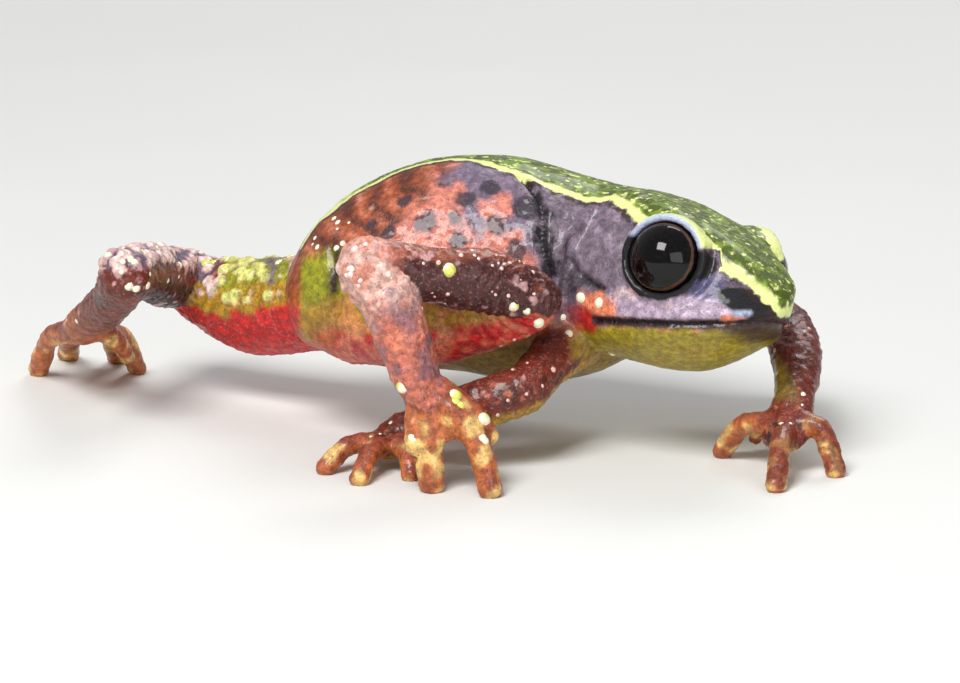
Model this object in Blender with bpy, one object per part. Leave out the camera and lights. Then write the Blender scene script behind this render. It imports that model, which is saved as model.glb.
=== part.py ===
"""Life-size still model of a stubfoot toad in mid-stride, head turned to its right.

Shapes are drawn in millimetres and brought to metres at the end. +X runs from rump to head, +Y to the
animal's left and +Z up. The origin is on the floor, under the middle of the whole animal.
"""

import math

import bmesh
import bpy
import numpy as np
from mathutils import Matrix, Vector

# Units and gaps, in millimetres
METRES_PER_MM = 0.001
GAP = 0.3
TUBE_SIDES = 12
TUBE_CAP_ANGLES = (82.0, 60.0, 32.0)
RING_POINTS = 40
FLESH_VOXEL = 0.26
SCRAP_FACES = 30

# Thin slabs that part a limb at its bends: reach into the bend, past its outside, and across
CUT_INWARD = 6.5
CUT_OUTWARD = 2.6
CUT_BREADTH = 7.0

# Head: place of the point midway between the eyes, and how the head is turned
HEAD_PLACE = Vector((15.16, -7.0, 11.4))
HEAD_YAW = math.radians(-46.0)
HEAD_ROLL = math.radians(-15.0)
NECK_X = -6.0
NECK_FOLD = 0.1

# Head sections from the neck to the snout, in the head's own frame (x forward, y left, z up):
# x, crown height, brow (y, z), cheek (y, z), lip (y, z), throat (y, z), throat depth
HEAD_SECTIONS = (
    (-6.9, 3.1, (3.0, 2.35), (5.0, -1.1), (4.9, -3.9), (3.5, -5.9), -6.8),
    (-5.4, 3.15, (2.9, 2.55), (4.8, -0.9), (4.9, -4.1), (3.5, -6.0), -6.7),
    (-3.6, 2.9, (2.8, 2.5), (4.6, -0.8), (4.95, -4.3), (3.6, -6.0), -6.7),
    (-1.5, 2.45, (2.6, 2.2), (4.4, -0.9), (4.8, -4.3), (3.4, -5.9), -6.7),
    (0.5, 1.95, (2.4, 1.85), (4.2, -1.2), (4.5, -4.0), (3.0, -5.5), -6.35),
    (2.2, 1.4, (2.1, 1.25), (3.4, -1.5), (3.8, -3.7), (2.4, -4.8), -5.4),
    (3.7, 0.7, (1.75, 0.55), (2.5, -1.5), (2.85, -3.3), (1.7, -4.05), -4.3),
    (4.85, 0.0, (1.35, -0.15), (1.8, -1.5), (1.8, -2.85), (1.0, -3.3), -3.45),
    (5.55, -0.5, (1.0, -0.65), (1.25, -1.55), (1.05, -2.45), (0.55, -2.75), -2.8),
    (5.95, -0.9, (0.65, -1.0), (0.8, -1.5), (0.6, -2.05), (0.35, -2.2), -2.25),
)
SNOUT_TIP = (6.15, 0.0, -1.5)

# Eyes, in the head's frame
EYE_RADIUS = 2.2
EYE_PLACE = (-0.3, 3.45, -0.35)
EYE_AXIS = (0.34, 0.92, 0.12)
LID_THICKNESS = 0.5
LID_SQUASH = (1.03, 1.0, 0.97)
LID_HALF_ANGLE_LONG = math.radians(67.0)
LID_HALF_ANGLE_HIGH = math.radians(62.0)
OPENING_REACH = 5.3

# Mouth slit and nostrils, in the head's frame
MOUTH_LINE = (
    (-3.7, 4.95, -4.65),
    (-1.5, 4.85, -4.35),
    (0.5, 4.5, -4.05),
    (2.2, 3.8, -3.75),
    (3.7, 2.8, -3.35),
    (4.75, 1.7, -2.95),
    (5.25, 0.85, -2.7),
    (5.45, 0.0, -2.6),
)
MOUTH_DEPTH = 0.75
MOUTH_HALF_HEIGHT = 0.17
MOUTH_SIDES = 8
CORNER_NARROWING = 0.25
NOSTRIL_PLACE = (4.95, 1.4, -0.85)
NOSTRIL_RADIUS = 0.32
SNOUT_ROUNDING = 0.35
NECK_MIDDLE = (NECK_X, 0.0, -1.7)

# Trunk sections from vent to shoulders: centre, half width, height above and depth below the centre
TRUNK_SECTIONS = (
    ((-9.45, -1.55, 7.5), 0.7, 0.8, 0.8),
    ((-9.2, -1.55, 7.6), 1.9, 1.8, 1.7),
    ((-8.3, -1.5, 7.8), 3.3, 3.0, 2.9),
    ((-6.8, -1.2, 8.3), 4.5, 4.3, 3.9),
    ((-4.3, -0.7, 8.9), 5.4, 5.5, 4.9),
    ((-1.0, -0.3, 9.3), 6.1, 6.4, 5.8),
    ((3.0, -0.5, 9.35), 6.3, 6.6, 6.35),
    ((6.4, -1.3, 9.2), 5.9, 6.1, 6.2),
    ((8.9, -2.2, 9.2), 5.3, 5.6, 5.4),
)
TRUNK_ROLL = math.radians(-9.0)
TRUNK_LEVELLING = 0.3

# Limb lines: each point is x, y, z, then the half thickness sideways and up
LIMBS = {
    "hind_right": {
        "thigh": ((-5.6, -2.6, 7.2, 2.7, 2.9), (-2.2, -5.9, 7.6, 2.6, 2.8), (1.4, -8.0, 8.5, 2.2, 2.4),
                  (4.5, -9.4, 9.5, 1.7, 1.8)),
        "shank": ((4.7, -9.5, 9.7, 1.65, 1.65), (2.3, -10.3, 10.9, 1.75, 1.8), (-0.6, -11.3, 11.5, 1.6, 1.65),
                  (-3.2, -12.1, 12.2, 1.5, 1.5), (-4.7, -12.5, 12.5, 1.6, 1.6)),
        "tarsus": ((-4.7, -12.6, 12.3, 1.6, 1.65), (-3.5, -13.0, 10.6, 1.75, 1.7),
                   (-2.6, -13.5, 8.4, 1.7, 1.5), (-1.9, -14.0, 6.4, 1.7, 1.25), (-1.2, -14.3, 5.0, 1.5, 1.0)),
    },
    "hind_left": {
        "thigh": ((-5.8, 1.4, 7.2, 2.6, 2.8), (-8.8, 3.6, 6.2, 2.5, 2.9), (-11.9, 5.6, 5.6, 2.2, 2.8),
                  (-14.6, 7.6, 6.0, 1.8, 2.1), (-15.8, 8.5, 6.5, 1.7, 1.8)),
        "shank": ((-15.8, 8.5, 6.5, 1.7, 1.75), (-16.9, 5.6, 7.4, 1.7, 1.75), (-17.9, 2.4, 8.4, 1.55, 1.6),
                  (-18.6, -0.6, 9.1, 1.5, 1.55), (-18.8, -1.9, 9.3, 1.55, 1.6)),
        "tarsus": ((-18.8, -1.8, 9.1, 1.5, 1.5), (-19.5, 0.6, 7.4, 1.4, 1.3), (-20.4, 3.0, 6.0, 1.45, 1.15),
                   (-21.3, 5.3, 4.7, 1.55, 1.0), (-21.7, 6.6, 3.8, 1.4, 0.85)),
    },
    "fore_left": {
        "upper_arm": ((9.0, -0.2, 7.0, 2.1, 2.3), (12.2, 1.0, 6.7, 1.65, 1.75), (15.6, 1.3, 6.4, 1.4, 1.45),
                      (18.9, 0.9, 6.1, 1.35, 1.35)),
        "forearm": ((19.0, 0.8, 6.1, 1.35, 1.35), (19.7, -2.2, 5.9, 1.5, 1.45), (20.0, -5.8, 5.0, 1.4, 1.35),
                    (19.8, -9.0, 3.7, 1.15, 1.0)),
        "palm": ((19.8, -8.9, 3.7, 1.15, 1.0), (19.4, -10.3, 2.6, 1.5, 0.85), (19.1, -11.2, 1.9, 1.3, 0.75)),
    },
    "fore_right": {
        "upper_arm": ((8.2, -3.0, 7.0, 2.1, 2.3), (6.6, -6.0, 6.1, 1.65, 1.75), (5.3, -8.2, 5.2, 1.4, 1.45),
                      (4.4, -9.8, 4.5, 1.35, 1.35)),
        "forearm": ((4.4, -9.8, 4.5, 1.35, 1.35), (2.4, -10.3, 3.9, 1.45, 1.45), (-0.2, -9.8, 2.9, 1.3, 1.25),
                    (-2.6, -9.0, 2.0, 1.1, 0.95)),
        "palm": ((-2.5, -9.0, 2.0, 1.1, 0.95), (-3.4, -9.7, 1.4, 1.45, 0.8), (-3.7, -10.5, 1.15, 1.25, 0.7)),
    },
}

# Digits: root, knuckle and tip of each, with the half thickness at the root and at the tip pad
DIGITS = {
    "hind_right": (
        ((-0.8, -13.9, 5.8), (0.6, -13.7, 4.9), (1.4, -13.5, 3.9), 0.68, 0.55),
        ((-0.6, -14.2, 5.6), (1.4, -14.7, 4.3), (2.35, -14.8, 3.0), 0.74, 0.6),
        ((-0.9, -14.4, 5.4), (1.35, -15.6, 3.3), (2.35, -16.7, 0.42), 0.86, 0.76),
        ((-1.6, -14.3, 5.4), (-1.15, -15.1, 2.7), (-1.0, -15.5, 0.45), 1.0, 0.88),
        ((-1.7, -14.1, 5.6), (-1.95, -15.0, 3.7), (-1.95, -15.5, 2.6), 0.78, 0.62),
    ),
    "hind_left": (
        ((-20.8, 5.7, 4.3), (-19.7, 7.0, 3.0), (-19.2, 8.0, 1.9), 0.66, 0.54),
        ((-21.1, 6.3, 4.0), (-19.6, 9.4, 2.8), (-18.8, 11.5, 0.3), 0.7, 0.62),
        ((-21.5, 6.6, 3.9), (-20.6, 11.0, 2.8), (-20.1, 14.3, 0.32), 0.74, 0.68),
        ((-21.9, 6.6, 3.9), (-22.7, 11.2, 2.8), (-23.1, 15.0, 0.32), 0.74, 0.68),
        ((-22.2, 6.0, 4.1), (-23.9, 9.0, 2.8), (-24.7, 11.2, 0.3), 0.7, 0.64),
    ),
    "fore_left": (
        ((18.8, -9.6, 2.7), (17.9, -8.4, 2.0), (17.6, -7.5, 1.0), 0.62, 0.5),
        ((18.6, -10.3, 2.5), (17.0, -9.2, 2.3), (15.7, -7.9, 0.34), 0.72, 0.68),
        ((19.2, -11.0, 2.2), (18.8, -13.3, 2.0), (18.5, -15.6, 0.36), 0.7, 0.68),
        ((19.8, -10.6, 2.5), (21.2, -11.2, 2.5), (22.0, -12.3, 0.34), 0.7, 0.66),
    ),
    "fore_right": (
        ((-2.9, -10.0, 1.6), (-1.8, -10.8, 1.2), (-1.1, -11.2, 0.5), 0.6, 0.52),
        ((-3.2, -10.3, 1.4), (-2.4, -12.0, 1.3), (-2.2, -13.1, 0.3), 0.68, 0.62),
        ((-3.8, -10.6, 1.3), (-4.5, -12.4, 1.4), (-5.1, -14.1, 0.32), 0.7, 0.66),
        ((-4.2, -10.1, 1.4), (-5.8, -10.9, 1.4), (-7.1, -11.7, 0.3), 0.68, 0.62),
    ),
}

# Webs between the digits of the hind feet: pairs of digits joined up to this share of their length
WEB_SHARE = 0.45
WEB_HALF_THICKNESS = 0.42

# Slimming of a digit at its knuckle, and flattening of its pad
KNUCKLE_SLIMMING = 0.94
PAD_FLATTENING = 0.85

# Pieces of each limb, from the body outwards
LIMB_PIECES = {
    "hind_right": ("thigh_right", "shank_right", "foot_right"),
    "hind_left": ("thigh_left", "shank_left", "foot_left"),
    "fore_left": ("upper_arm_left", "forearm_left", "hand_left"),
    "fore_right": ("upper_arm_right", "forearm_right", "hand_right"),
}
SMOOTHING_STEPS = 5
FACES_PER_LIMB = {"hind_right": 1900, "hind_left": 2000, "fore_left": 1450, "fore_right": 1450}

# Colours and surface of each kind of skin
FINISHES = {
    "skin_back": ((0.33, 0.50, 0.08), 0.35),
    "skin_side": ((0.42, 0.16, 0.13), 0.35),
    "skin_limb": ((0.30, 0.09, 0.06), 0.35),
    "skin_hand": ((0.62, 0.33, 0.10), 0.35),
    "eye": ((0.01, 0.01, 0.012), 0.08),
}
FINISH_OF_KIND = {
    "head": "skin_back",
    "torso": "skin_side",
    "eye": "eye",
    "thigh": "skin_limb",
    "shank": "skin_limb",
    "foot": "skin_hand",
    "upper_arm": "skin_limb",
    "forearm": "skin_limb",
    "hand": "skin_hand",
}


def clear_scene():
    """Remove every object that the file opened with."""
    for item in list(bpy.data.objects):
        bpy.data.objects.remove(item, do_unlink=True)


def smooth_points(points, steps):
    """Points on a smooth curve through the given ones, with this many steps between each pair."""
    keys = np.array(points, dtype=float)
    last = len(keys) - 1
    out = []
    for i in range(last):
        before = keys[max(i - 1, 0)]
        start = keys[i]
        end = keys[i + 1]
        after = keys[min(i + 2, last)]
        for step in range(steps):
            t = step / steps
            bend = 2 * before - 5 * start + 4 * end - after
            twist = 3 * start - before - 3 * end + after
            out.append(0.5 * (2 * start + (end - before) * t + bend * t**2 + twist * t**3))
    out.append(keys[last])
    return np.array(out)


def new_object(name, bm):
    """Object in the scene that holds this mesh."""
    mesh = bpy.data.meshes.new(name)
    bm.to_mesh(mesh)
    bm.free()
    item = bpy.data.objects.new(name, mesh)
    bpy.context.collection.objects.link(item)
    return item


def loft(name, rings):
    """Closed skin drawn by pulling one ring of points on to the next, with both ends filled."""
    bm = bmesh.new()
    made = bmesh.ops.create_circle(bm, cap_ends=False, radius=1.0, segments=len(rings[0]))
    front = made["verts"]
    for vert, place in zip(front, rings[0]):
        vert.co = place
    first_edges = list(bm.edges)
    edges = first_edges
    for ring in rings[1:]:
        order = {vert: k for k, vert in enumerate(front)}
        pulled = bmesh.ops.extrude_edge_only(bm, edges=edges)
        fresh = [g for g in pulled["geom"] if isinstance(g, bmesh.types.BMVert)]
        edges = [g for g in pulled["geom"] if isinstance(g, bmesh.types.BMEdge)]
        front = [None] * len(ring)
        for vert in fresh:
            for edge in vert.link_edges:
                old = edge.other_vert(vert)
                if old in order:
                    front[order[old]] = vert
        for vert, place in zip(front, ring):
            vert.co = place
        ring_set = set(front)
        edges = [e for e in edges if e.verts[0] in ring_set and e.verts[1] in ring_set]
    bmesh.ops.edgeloop_fill(bm, edges=first_edges)
    bmesh.ops.edgeloop_fill(bm, edges=edges)
    bmesh.ops.recalc_face_normals(bm, faces=bm.faces)
    return new_object(name, bm)


def tube(name, line, steps=4):
    """Round-ended tube along a line whose points hold x, y, z and the half thickness sideways and up."""
    stations = smooth_points(line, steps)
    places = [Vector(s[:3]) for s in stations]
    count = len(places)
    cap = [(math.sin(math.radians(a)), math.cos(math.radians(a))) for a in TUBE_CAP_ANGLES]
    rings = []
    for i, place in enumerate(places):
        along = (places[min(i + 1, count - 1)] - places[max(i - 1, 0)]).normalized()
        side = along.cross(Vector((0.0, 0.0, 1.0)))
        if side.length < 0.2:
            side = along.cross(Vector((1.0, 0.0, 0.0)))
        side.normalize()
        above = side.cross(along)
        wide, high = stations[i][3], stations[i][4]
        shrink = [(0.0, 1.0)]
        if i == 0:
            shrink = [(-push, scale) for push, scale in cap] + shrink
        if i == count - 1:
            shrink = shrink + [(push, scale) for push, scale in reversed(cap)]
        for push, scale in shrink:
            centre = place + along * (push * min(wide, high))
            ring = []
            for k in range(TUBE_SIDES):
                angle = 2 * math.pi * k / TUBE_SIDES
                sideways = side * (wide * scale * math.cos(angle))
                ring.append(centre + sideways + above * (high * scale * math.sin(angle)))
            rings.append(ring)
    return loft(name, rings)


def settle(item):
    """Turn an object's modifiers into its mesh."""
    graph = bpy.context.evaluated_depsgraph_get()
    mesh = bpy.data.meshes.new_from_object(item.evaluated_get(graph))
    item.modifiers.clear()
    old = item.data
    item.data = mesh
    bpy.data.meshes.remove(old)
    return item


def discard(item):
    """Remove a helper object once its work is done."""
    bpy.data.objects.remove(item, do_unlink=True)


def combine(item, other, operation, solver="EXACT"):
    """Join or cut an object with another one, which is then removed."""
    mod = item.modifiers.new(operation.lower(), "BOOLEAN")
    mod.operation = operation
    mod.solver = solver
    mod.object = other
    settle(item)
    discard(other)
    return item


def surfaces_of(bm):
    """The separate closed surfaces of a mesh, as lists of faces, largest first."""
    left = set(bm.faces)
    islands = []
    while left:
        stack = [left.pop()]
        island = [stack[0]]
        while stack:
            face = stack.pop()
            for edge in face.edges:
                for other in edge.link_faces:
                    if other in left:
                        left.remove(other)
                        stack.append(other)
                        island.append(other)
        islands.append(island)
    return sorted(islands, key=len, reverse=True)


def keep_largest(item):
    """Keep only the closed surface with the most faces."""
    bm = bmesh.new()
    bm.from_mesh(item.data)
    scraps = [face for island in surfaces_of(bm)[1:] for face in island]
    bmesh.ops.delete(bm, geom=scraps, context="FACES")
    bm.to_mesh(item.data)
    bm.free()
    return item


def slice_off(item, place, outward):
    """Cut away what lies beyond a plane and close the cut with a flat face."""
    bm = bmesh.new()
    bm.from_mesh(item.data)
    whole = list(bm.verts) + list(bm.edges) + list(bm.faces)
    bmesh.ops.bisect_plane(bm, geom=whole, plane_co=place, plane_no=outward, clear_outer=True)
    rim = [e for e in bm.edges if e.is_boundary]
    bmesh.ops.holes_fill(bm, edges=rim, sides=0)
    bmesh.ops.triangulate(bm, faces=bm.faces)
    bm.to_mesh(item.data)
    bm.free()
    return item


def copy_of(item, name):
    """Second object with its own copy of the mesh."""
    twin = bpy.data.objects.new(name, item.data.copy())
    bpy.context.collection.objects.link(twin)
    return twin


def swollen(item, by):
    """Copy of an object grown outwards by a small distance."""
    twin = copy_of(item, item.name + "_swollen")
    mod = twin.modifiers.new("grow", "DISPLACE")
    mod.strength = by
    mod.mid_level = 0.0
    return settle(twin)


def head_matrix():
    """Placement of the head: turned to the animal's right and leaning a little to its left."""
    turn = Matrix.Rotation(HEAD_YAW, 4, "Z") @ Matrix.Rotation(HEAD_ROLL, 4, "X")
    return Matrix.Translation(HEAD_PLACE) @ turn


def head_ring(section):
    """Ring of points around the head at one section, starting at the crown and going left."""
    x, crown, brow, cheek, lip, throat, floor = section
    left = [(0.0, crown), brow, cheek, lip, throat, (0.0, floor)]
    right = [(-y, z) for y, z in reversed(left[1:-1])]
    loop = left + right
    steps = RING_POINTS // len(loop)
    wrapped = [loop[-1]] + loop + loop[:2]
    curve = smooth_points(wrapped, steps)[steps : steps + RING_POINTS]
    return [Vector((x, y, z)) for y, z in curve]


def rings_between(keys, steps):
    """Rings along a body, with smooth steps between the given ones."""
    flat = [np.array([c for place in ring for c in place]) for ring in keys]
    return [[Vector(row) for row in ring.reshape(-1, 3)] for ring in smooth_points(flat, steps)]


def head_section_at(x):
    """Head section at any distance along the head, worked out between the given ones."""
    spots = [s[0] for s in HEAD_SECTIONS]
    flat = [np.array([s[1], *s[2], *s[3], *s[4], *s[5], s[6]]) for s in HEAD_SECTIONS]
    table = np.array(flat)
    v = [float(np.interp(x, spots, table[:, column])) for column in range(table.shape[1])]
    return (x, v[0], (v[1], v[2]), (v[3], v[4]), (v[5], v[6]), (v[7], v[8]), v[9])


def on_side(place, side):
    """The same place on the left (1) or right (-1) of the head."""
    return Vector((place[0], place[1] * side, place[2]))


def ball(name, centre, radius, squash=(1.0, 1.0, 1.0), rows=16):
    """Round or squashed ball."""
    bm = bmesh.new()
    shape = Matrix.Translation(centre) @ Matrix.Diagonal((*[radius * s for s in squash], 1.0))
    bmesh.ops.create_uvsphere(bm, u_segments=rows * 2, v_segments=rows, radius=1.0, matrix=shape)
    return new_object(name, bm)


def eye_opening(side):
    """Cone that opens the lids, with its point at the middle of the eyeball."""
    reach = OPENING_REACH
    bm = bmesh.new()
    bmesh.ops.create_cone(bm, cap_ends=True, segments=28, radius1=0.02, radius2=reach, depth=reach)
    bmesh.ops.translate(bm, verts=bm.verts, vec=(0.0, 0.0, reach / 2))
    widths = (math.tan(LID_HALF_ANGLE_LONG), math.tan(LID_HALF_ANGLE_HIGH), 1.0)
    bmesh.ops.scale(bm, verts=bm.verts, vec=widths)
    outward = on_side(EYE_AXIS, side).normalized()
    along = Vector((1.0, 0.0, 0.0)) - outward * outward.x
    along.normalize()
    above = outward.cross(along)
    turn = Matrix((along, above, outward)).transposed().to_4x4()
    bmesh.ops.transform(bm, matrix=Matrix.Translation(on_side(EYE_PLACE, side)) @ turn, verts=bm.verts)
    bmesh.ops.recalc_face_normals(bm, faces=bm.faces)
    return new_object("eye_opening", bm)


def mouth_slit():
    """Thin flat tube that follows the line of the mouth from one corner to the other."""
    left = [(x, y, z) for x, y, z in MOUTH_LINE]
    right = [(x, -y, z) for x, y, z in reversed(MOUTH_LINE[:-1])]
    line = smooth_points(left + right, 2)
    last = len(line) - 1
    rings = []
    for i, row in enumerate(line):
        place = Vector(row)
        along = Vector(line[min(i + 1, last)]) - Vector(line[max(i - 1, 0)])
        along.normalize()
        side = along.cross(Vector((0.0, 0.0, 1.0))).normalized()
        above = side.cross(along)
        narrow = CORNER_NARROWING if i in (0, last) else 1.0
        ring = []
        for k in range(MOUTH_SIDES):
            angle = 2 * math.pi * k / MOUTH_SIDES
            inward = side * (MOUTH_DEPTH * narrow * math.cos(angle))
            ring.append(place + inward + above * (MOUTH_HALF_HEIGHT * narrow * math.sin(angle)))
        rings.append(ring)
    return loft("mouth_slit", rings)


def head_form(name):
    """Plain form of the head, from the neck face to the snout."""
    start = head_section_at(NECK_X)
    keys = [head_ring(start)] + [head_ring(s) for s in HEAD_SECTIONS if s[0] > NECK_X]
    tip = [Vector(SNOUT_TIP) + (p - Vector(SNOUT_TIP)) * SNOUT_ROUNDING for p in keys[-1]]
    for place in tip:
        place.x = SNOUT_TIP[0]
    return loft(name, rings_between(keys + [tip], 2))


def build_head():
    """Head with lids, line of the mouth, lips and nostrils."""
    head = head_form("head")
    lid_radius = EYE_RADIUS + GAP + LID_THICKNESS
    for side in (1, -1):
        combine(head, ball("lids", on_side(EYE_PLACE, side), lid_radius, LID_SQUASH, 10), "UNION")
    for side in (1, -1):
        combine(head, ball("socket", on_side(EYE_PLACE, side), EYE_RADIUS + GAP, rows=10), "DIFFERENCE")
        combine(head, eye_opening(side), "DIFFERENCE")
        combine(head, ball("nostril", on_side(NOSTRIL_PLACE, side), NOSTRIL_RADIUS, rows=6), "DIFFERENCE")
    combine(head, mouth_slit(), "DIFFERENCE")
    keep_largest(head)
    head.data.transform(head_matrix())
    return head


def build_eye(name, side):
    """Eyeball."""
    eye = ball(name, on_side(EYE_PLACE, side), EYE_RADIUS, rows=10)
    eye.data.transform(head_matrix())
    return eye


def trunk_rings():
    """Rings of the trunk from the vent to the neck."""
    places = [Vector(s[0]) for s in TRUNK_SECTIONS]
    neck = head_matrix() @ Vector(NECK_MIDDLE)
    rings = []
    for i, (centre, wide, high, deep) in enumerate(TRUNK_SECTIONS):
        after = places[i + 1] if i + 1 < len(places) else neck
        along = (after - places[max(i - 1, 0)]).normalized()
        along.z *= TRUNK_LEVELLING
        along.normalize()
        left = Vector((0.0, 0.0, 1.0)).cross(along).normalized()
        up = along.cross(left)
        lean = Matrix.Rotation(TRUNK_ROLL, 3, along)
        left = lean @ left
        up = lean @ up
        ring = []
        for k in range(RING_POINTS):
            angle = 2 * math.pi * k / RING_POINTS
            rise = math.cos(angle)
            tall = high if rise > 0 else deep
            ring.append(Vector(centre) + left * (wide * math.sin(angle)) + up * (rise * tall))
        rings.append(ring)
    return rings


def build_torso():
    """Trunk whose front face is the head's neck face, one gap behind it."""
    turn = head_matrix()
    neck = [turn @ place for place in head_ring(head_section_at(NECK_X - GAP))]
    forward = turn.to_3x3() @ Vector((1.0, 0.0, 0.0))
    rings = rings_between(trunk_rings() + [neck], 2)
    for ring in rings[:-1]:
        for place in ring:
            ahead = (place - neck[0]).dot(forward) + NECK_FOLD
            if ahead > 0.0:
                place -= forward * ahead
    return loft("torso", rings)


def digit(name, root, knuckle, tip, root_size, tip_size):
    """Finger or toe: thick root, bent knuckle and a round pad."""
    middle = 0.5 * (root_size + tip_size) * KNUCKLE_SLIMMING
    line = (
        (*root, root_size, root_size),
        (*knuckle, middle, middle),
        (*tip, tip_size, tip_size * PAD_FLATTENING),
    )
    return tube(name, line)


def web(name, one, two):
    """Thin skin between two toes, as a fan of slim tubes laid side by side."""
    strands = []
    for share in (0.25, 0.5, 0.75):
        ends = []
        for reach in (0.0, WEB_SHARE * 0.5, WEB_SHARE):
            spots = []
            for toe in (one, two):
                root, knuckle = Vector(toe[0]), Vector(toe[1])
                spots.append(root.lerp(knuckle, reach * 2))
            ends.append(spots[0].lerp(spots[1], share))
        line = [(*p, WEB_HALF_THICKNESS * 1.3, WEB_HALF_THICKNESS) for p in ends]
        strands.append(tube(name, line, 2))
    return strands


def melt_together(name, pieces, faces):
    """Join overlapping pieces into one smooth skin with about this many triangles."""
    bm = bmesh.new()
    for piece in pieces:
        bm.from_mesh(piece.data)
        discard(piece)
    item = new_object(name, bm)
    fuse = item.modifiers.new("fuse", "REMESH")
    fuse.mode = "VOXEL"
    fuse.voxel_size = FLESH_VOXEL
    soft = item.modifiers.new("soften", "SMOOTH")
    soft.iterations = SMOOTHING_STEPS
    soft.factor = 0.5
    settle(item)
    bm = bmesh.new()
    bm.from_mesh(item.data)
    bmesh.ops.triangulate(bm, faces=bm.faces)
    count = len(bm.faces)
    bm.to_mesh(item.data)
    bm.free()
    thin = item.modifiers.new("thin", "DECIMATE")
    thin.ratio = min(1.0, faces / count)
    settle(item)
    return keep_largest(item)


def bend_cutter(first, second):
    """Thin flat slab that parts a limb across the bend where one line ends and the next begins."""
    place = (Vector(first[-1][:3]) + Vector(second[0][:3])) / 2
    back = (Vector(first[-2][:3]) - place).normalized()
    onward = (Vector(second[1][:3]) - place).normalized()
    across = (onward - back).normalized()
    inward = back + onward
    inward -= across * inward.dot(across)
    if inward.length < 0.1:
        inward = across.orthogonal()
    inward.normalize()
    breadth = across.cross(inward)
    size = Matrix.Diagonal((CUT_INWARD + CUT_OUTWARD, CUT_BREADTH, GAP, 1.0))
    turn = Matrix((inward, breadth, across)).transposed().to_4x4()
    middle = place + inward * ((CUT_INWARD - CUT_OUTWARD) / 2)
    bm = bmesh.new()
    bmesh.ops.create_cube(bm, size=1.0, matrix=Matrix.Translation(middle) @ turn @ size)
    bmesh.ops.recalc_face_normals(bm, faces=bm.faces)
    return new_object("bend_cutter", bm)


def nearest_part(item, name, place):
    """New object with the closed surface of an object that comes nearest to a place."""
    twin = copy_of(item, name)
    bm = bmesh.new()
    bm.from_mesh(twin.data)
    islands = surfaces_of(bm)
    islands = [island for island in islands if len(island) > SCRAP_FACES]
    near = min(islands, key=lambda island: min((f.calc_center_median() - place).length for f in island))
    wanted = set(near)
    bmesh.ops.delete(bm, geom=[face for face in bm.faces if face not in wanted], context="FACES")
    bm.to_mesh(twin.data)
    bm.free()
    return twin


def build_limb(limb, neighbours):
    """One whole limb, set against its neighbours, stood on the floor and parted at its two bends."""
    lines = LIMBS[limb]
    pieces = [tube(name, line) for name, line in lines.items()]
    pieces += [digit("digit", *sizes) for sizes in DIGITS[limb]]
    if limb.startswith("hind"):
        for one, two in zip(DIGITS[limb], DIGITS[limb][1:]):
            pieces += web("web", one, two)
    whole = melt_together(limb, pieces, FACES_PER_LIMB[limb])
    for neighbour in neighbours:
        combine(whole, swollen(neighbour, GAP), "DIFFERENCE", "MANIFOLD")
    slice_off(whole, (0.0, 0.0, 0.0), (0.0, 0.0, -1.0))
    keep_largest(whole)
    upper, middle, lower = lines.values()
    combine(whole, bend_cutter(upper, middle), "DIFFERENCE", "MANIFOLD")
    combine(whole, bend_cutter(middle, lower), "DIFFERENCE", "MANIFOLD")
    parts = []
    for name, line in zip(LIMB_PIECES[limb], (upper, middle, lower)):
        parts.append(nearest_part(whole, name, Vector(line[len(line) // 2][:3])))
    discard(whole)
    return parts


def finish_material(name):
    """Plain glossy skin or eye material."""
    colour, roughness = FINISHES[name]
    material = bpy.data.materials.get(name) or bpy.data.materials.new(name)
    material.use_nodes = True
    shader = material.node_tree.nodes["Principled BSDF"]
    shader.inputs["Base Color"].default_value = (*colour, 1.0)
    shader.inputs["Roughness"].default_value = roughness
    shader.inputs["Metallic"].default_value = 0.0
    material.diffuse_color = (*colour, 1.0)
    return material


def dress(item):
    """Give a piece its own material and smooth shading."""
    kind = item.name.replace("_left", "").replace("_right", "")
    material = finish_material(FINISH_OF_KIND[kind]).copy()
    material.name = item.name + "_finish"
    item.data.materials.clear()
    item.data.materials.append(material)
    item.data.shade_smooth()


def main():
    """Build every piece, then bring the animal to metres with its origin on the floor under its middle."""
    clear_scene()
    torso = build_torso()
    pieces = [torso, build_head(), build_eye("eye_left", 1), build_eye("eye_right", -1)]
    plain_head = head_form("plain_head")
    plain_head.data.transform(head_matrix())
    for limb in LIMBS:
        neighbours = [torso, plain_head] if limb.startswith("fore") else [torso]
        pieces += build_limb(limb, neighbours)
    discard(plain_head)
    corners = np.array([v.co[:] for item in pieces for v in item.data.vertices])
    middle = (corners.min(axis=0) + corners.max(axis=0)) / 2
    shift = Matrix.Translation((-middle[0], -middle[1], 0.0))
    for item in pieces:
        item.data.transform(Matrix.Scale(METRES_PER_MM, 4) @ shift)
        dress(item)


main()
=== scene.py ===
"""Looks of a life-size still model of a stubfoot toad in mid-stride, head turned to its right.

Every shape is drawn in design millimetres, in the frame of the solids, and brought to metres at the end.
One skin covers the whole animal. The eyes and the small pale tubercles are pieces of their own.
"""

from __future__ import annotations

import logging
import math
from dataclasses import dataclass
from enum import Enum
from typing import Sequence

import bmesh
import bpy
import numpy as np
from mathutils import Matrix, Vector, noise

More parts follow.
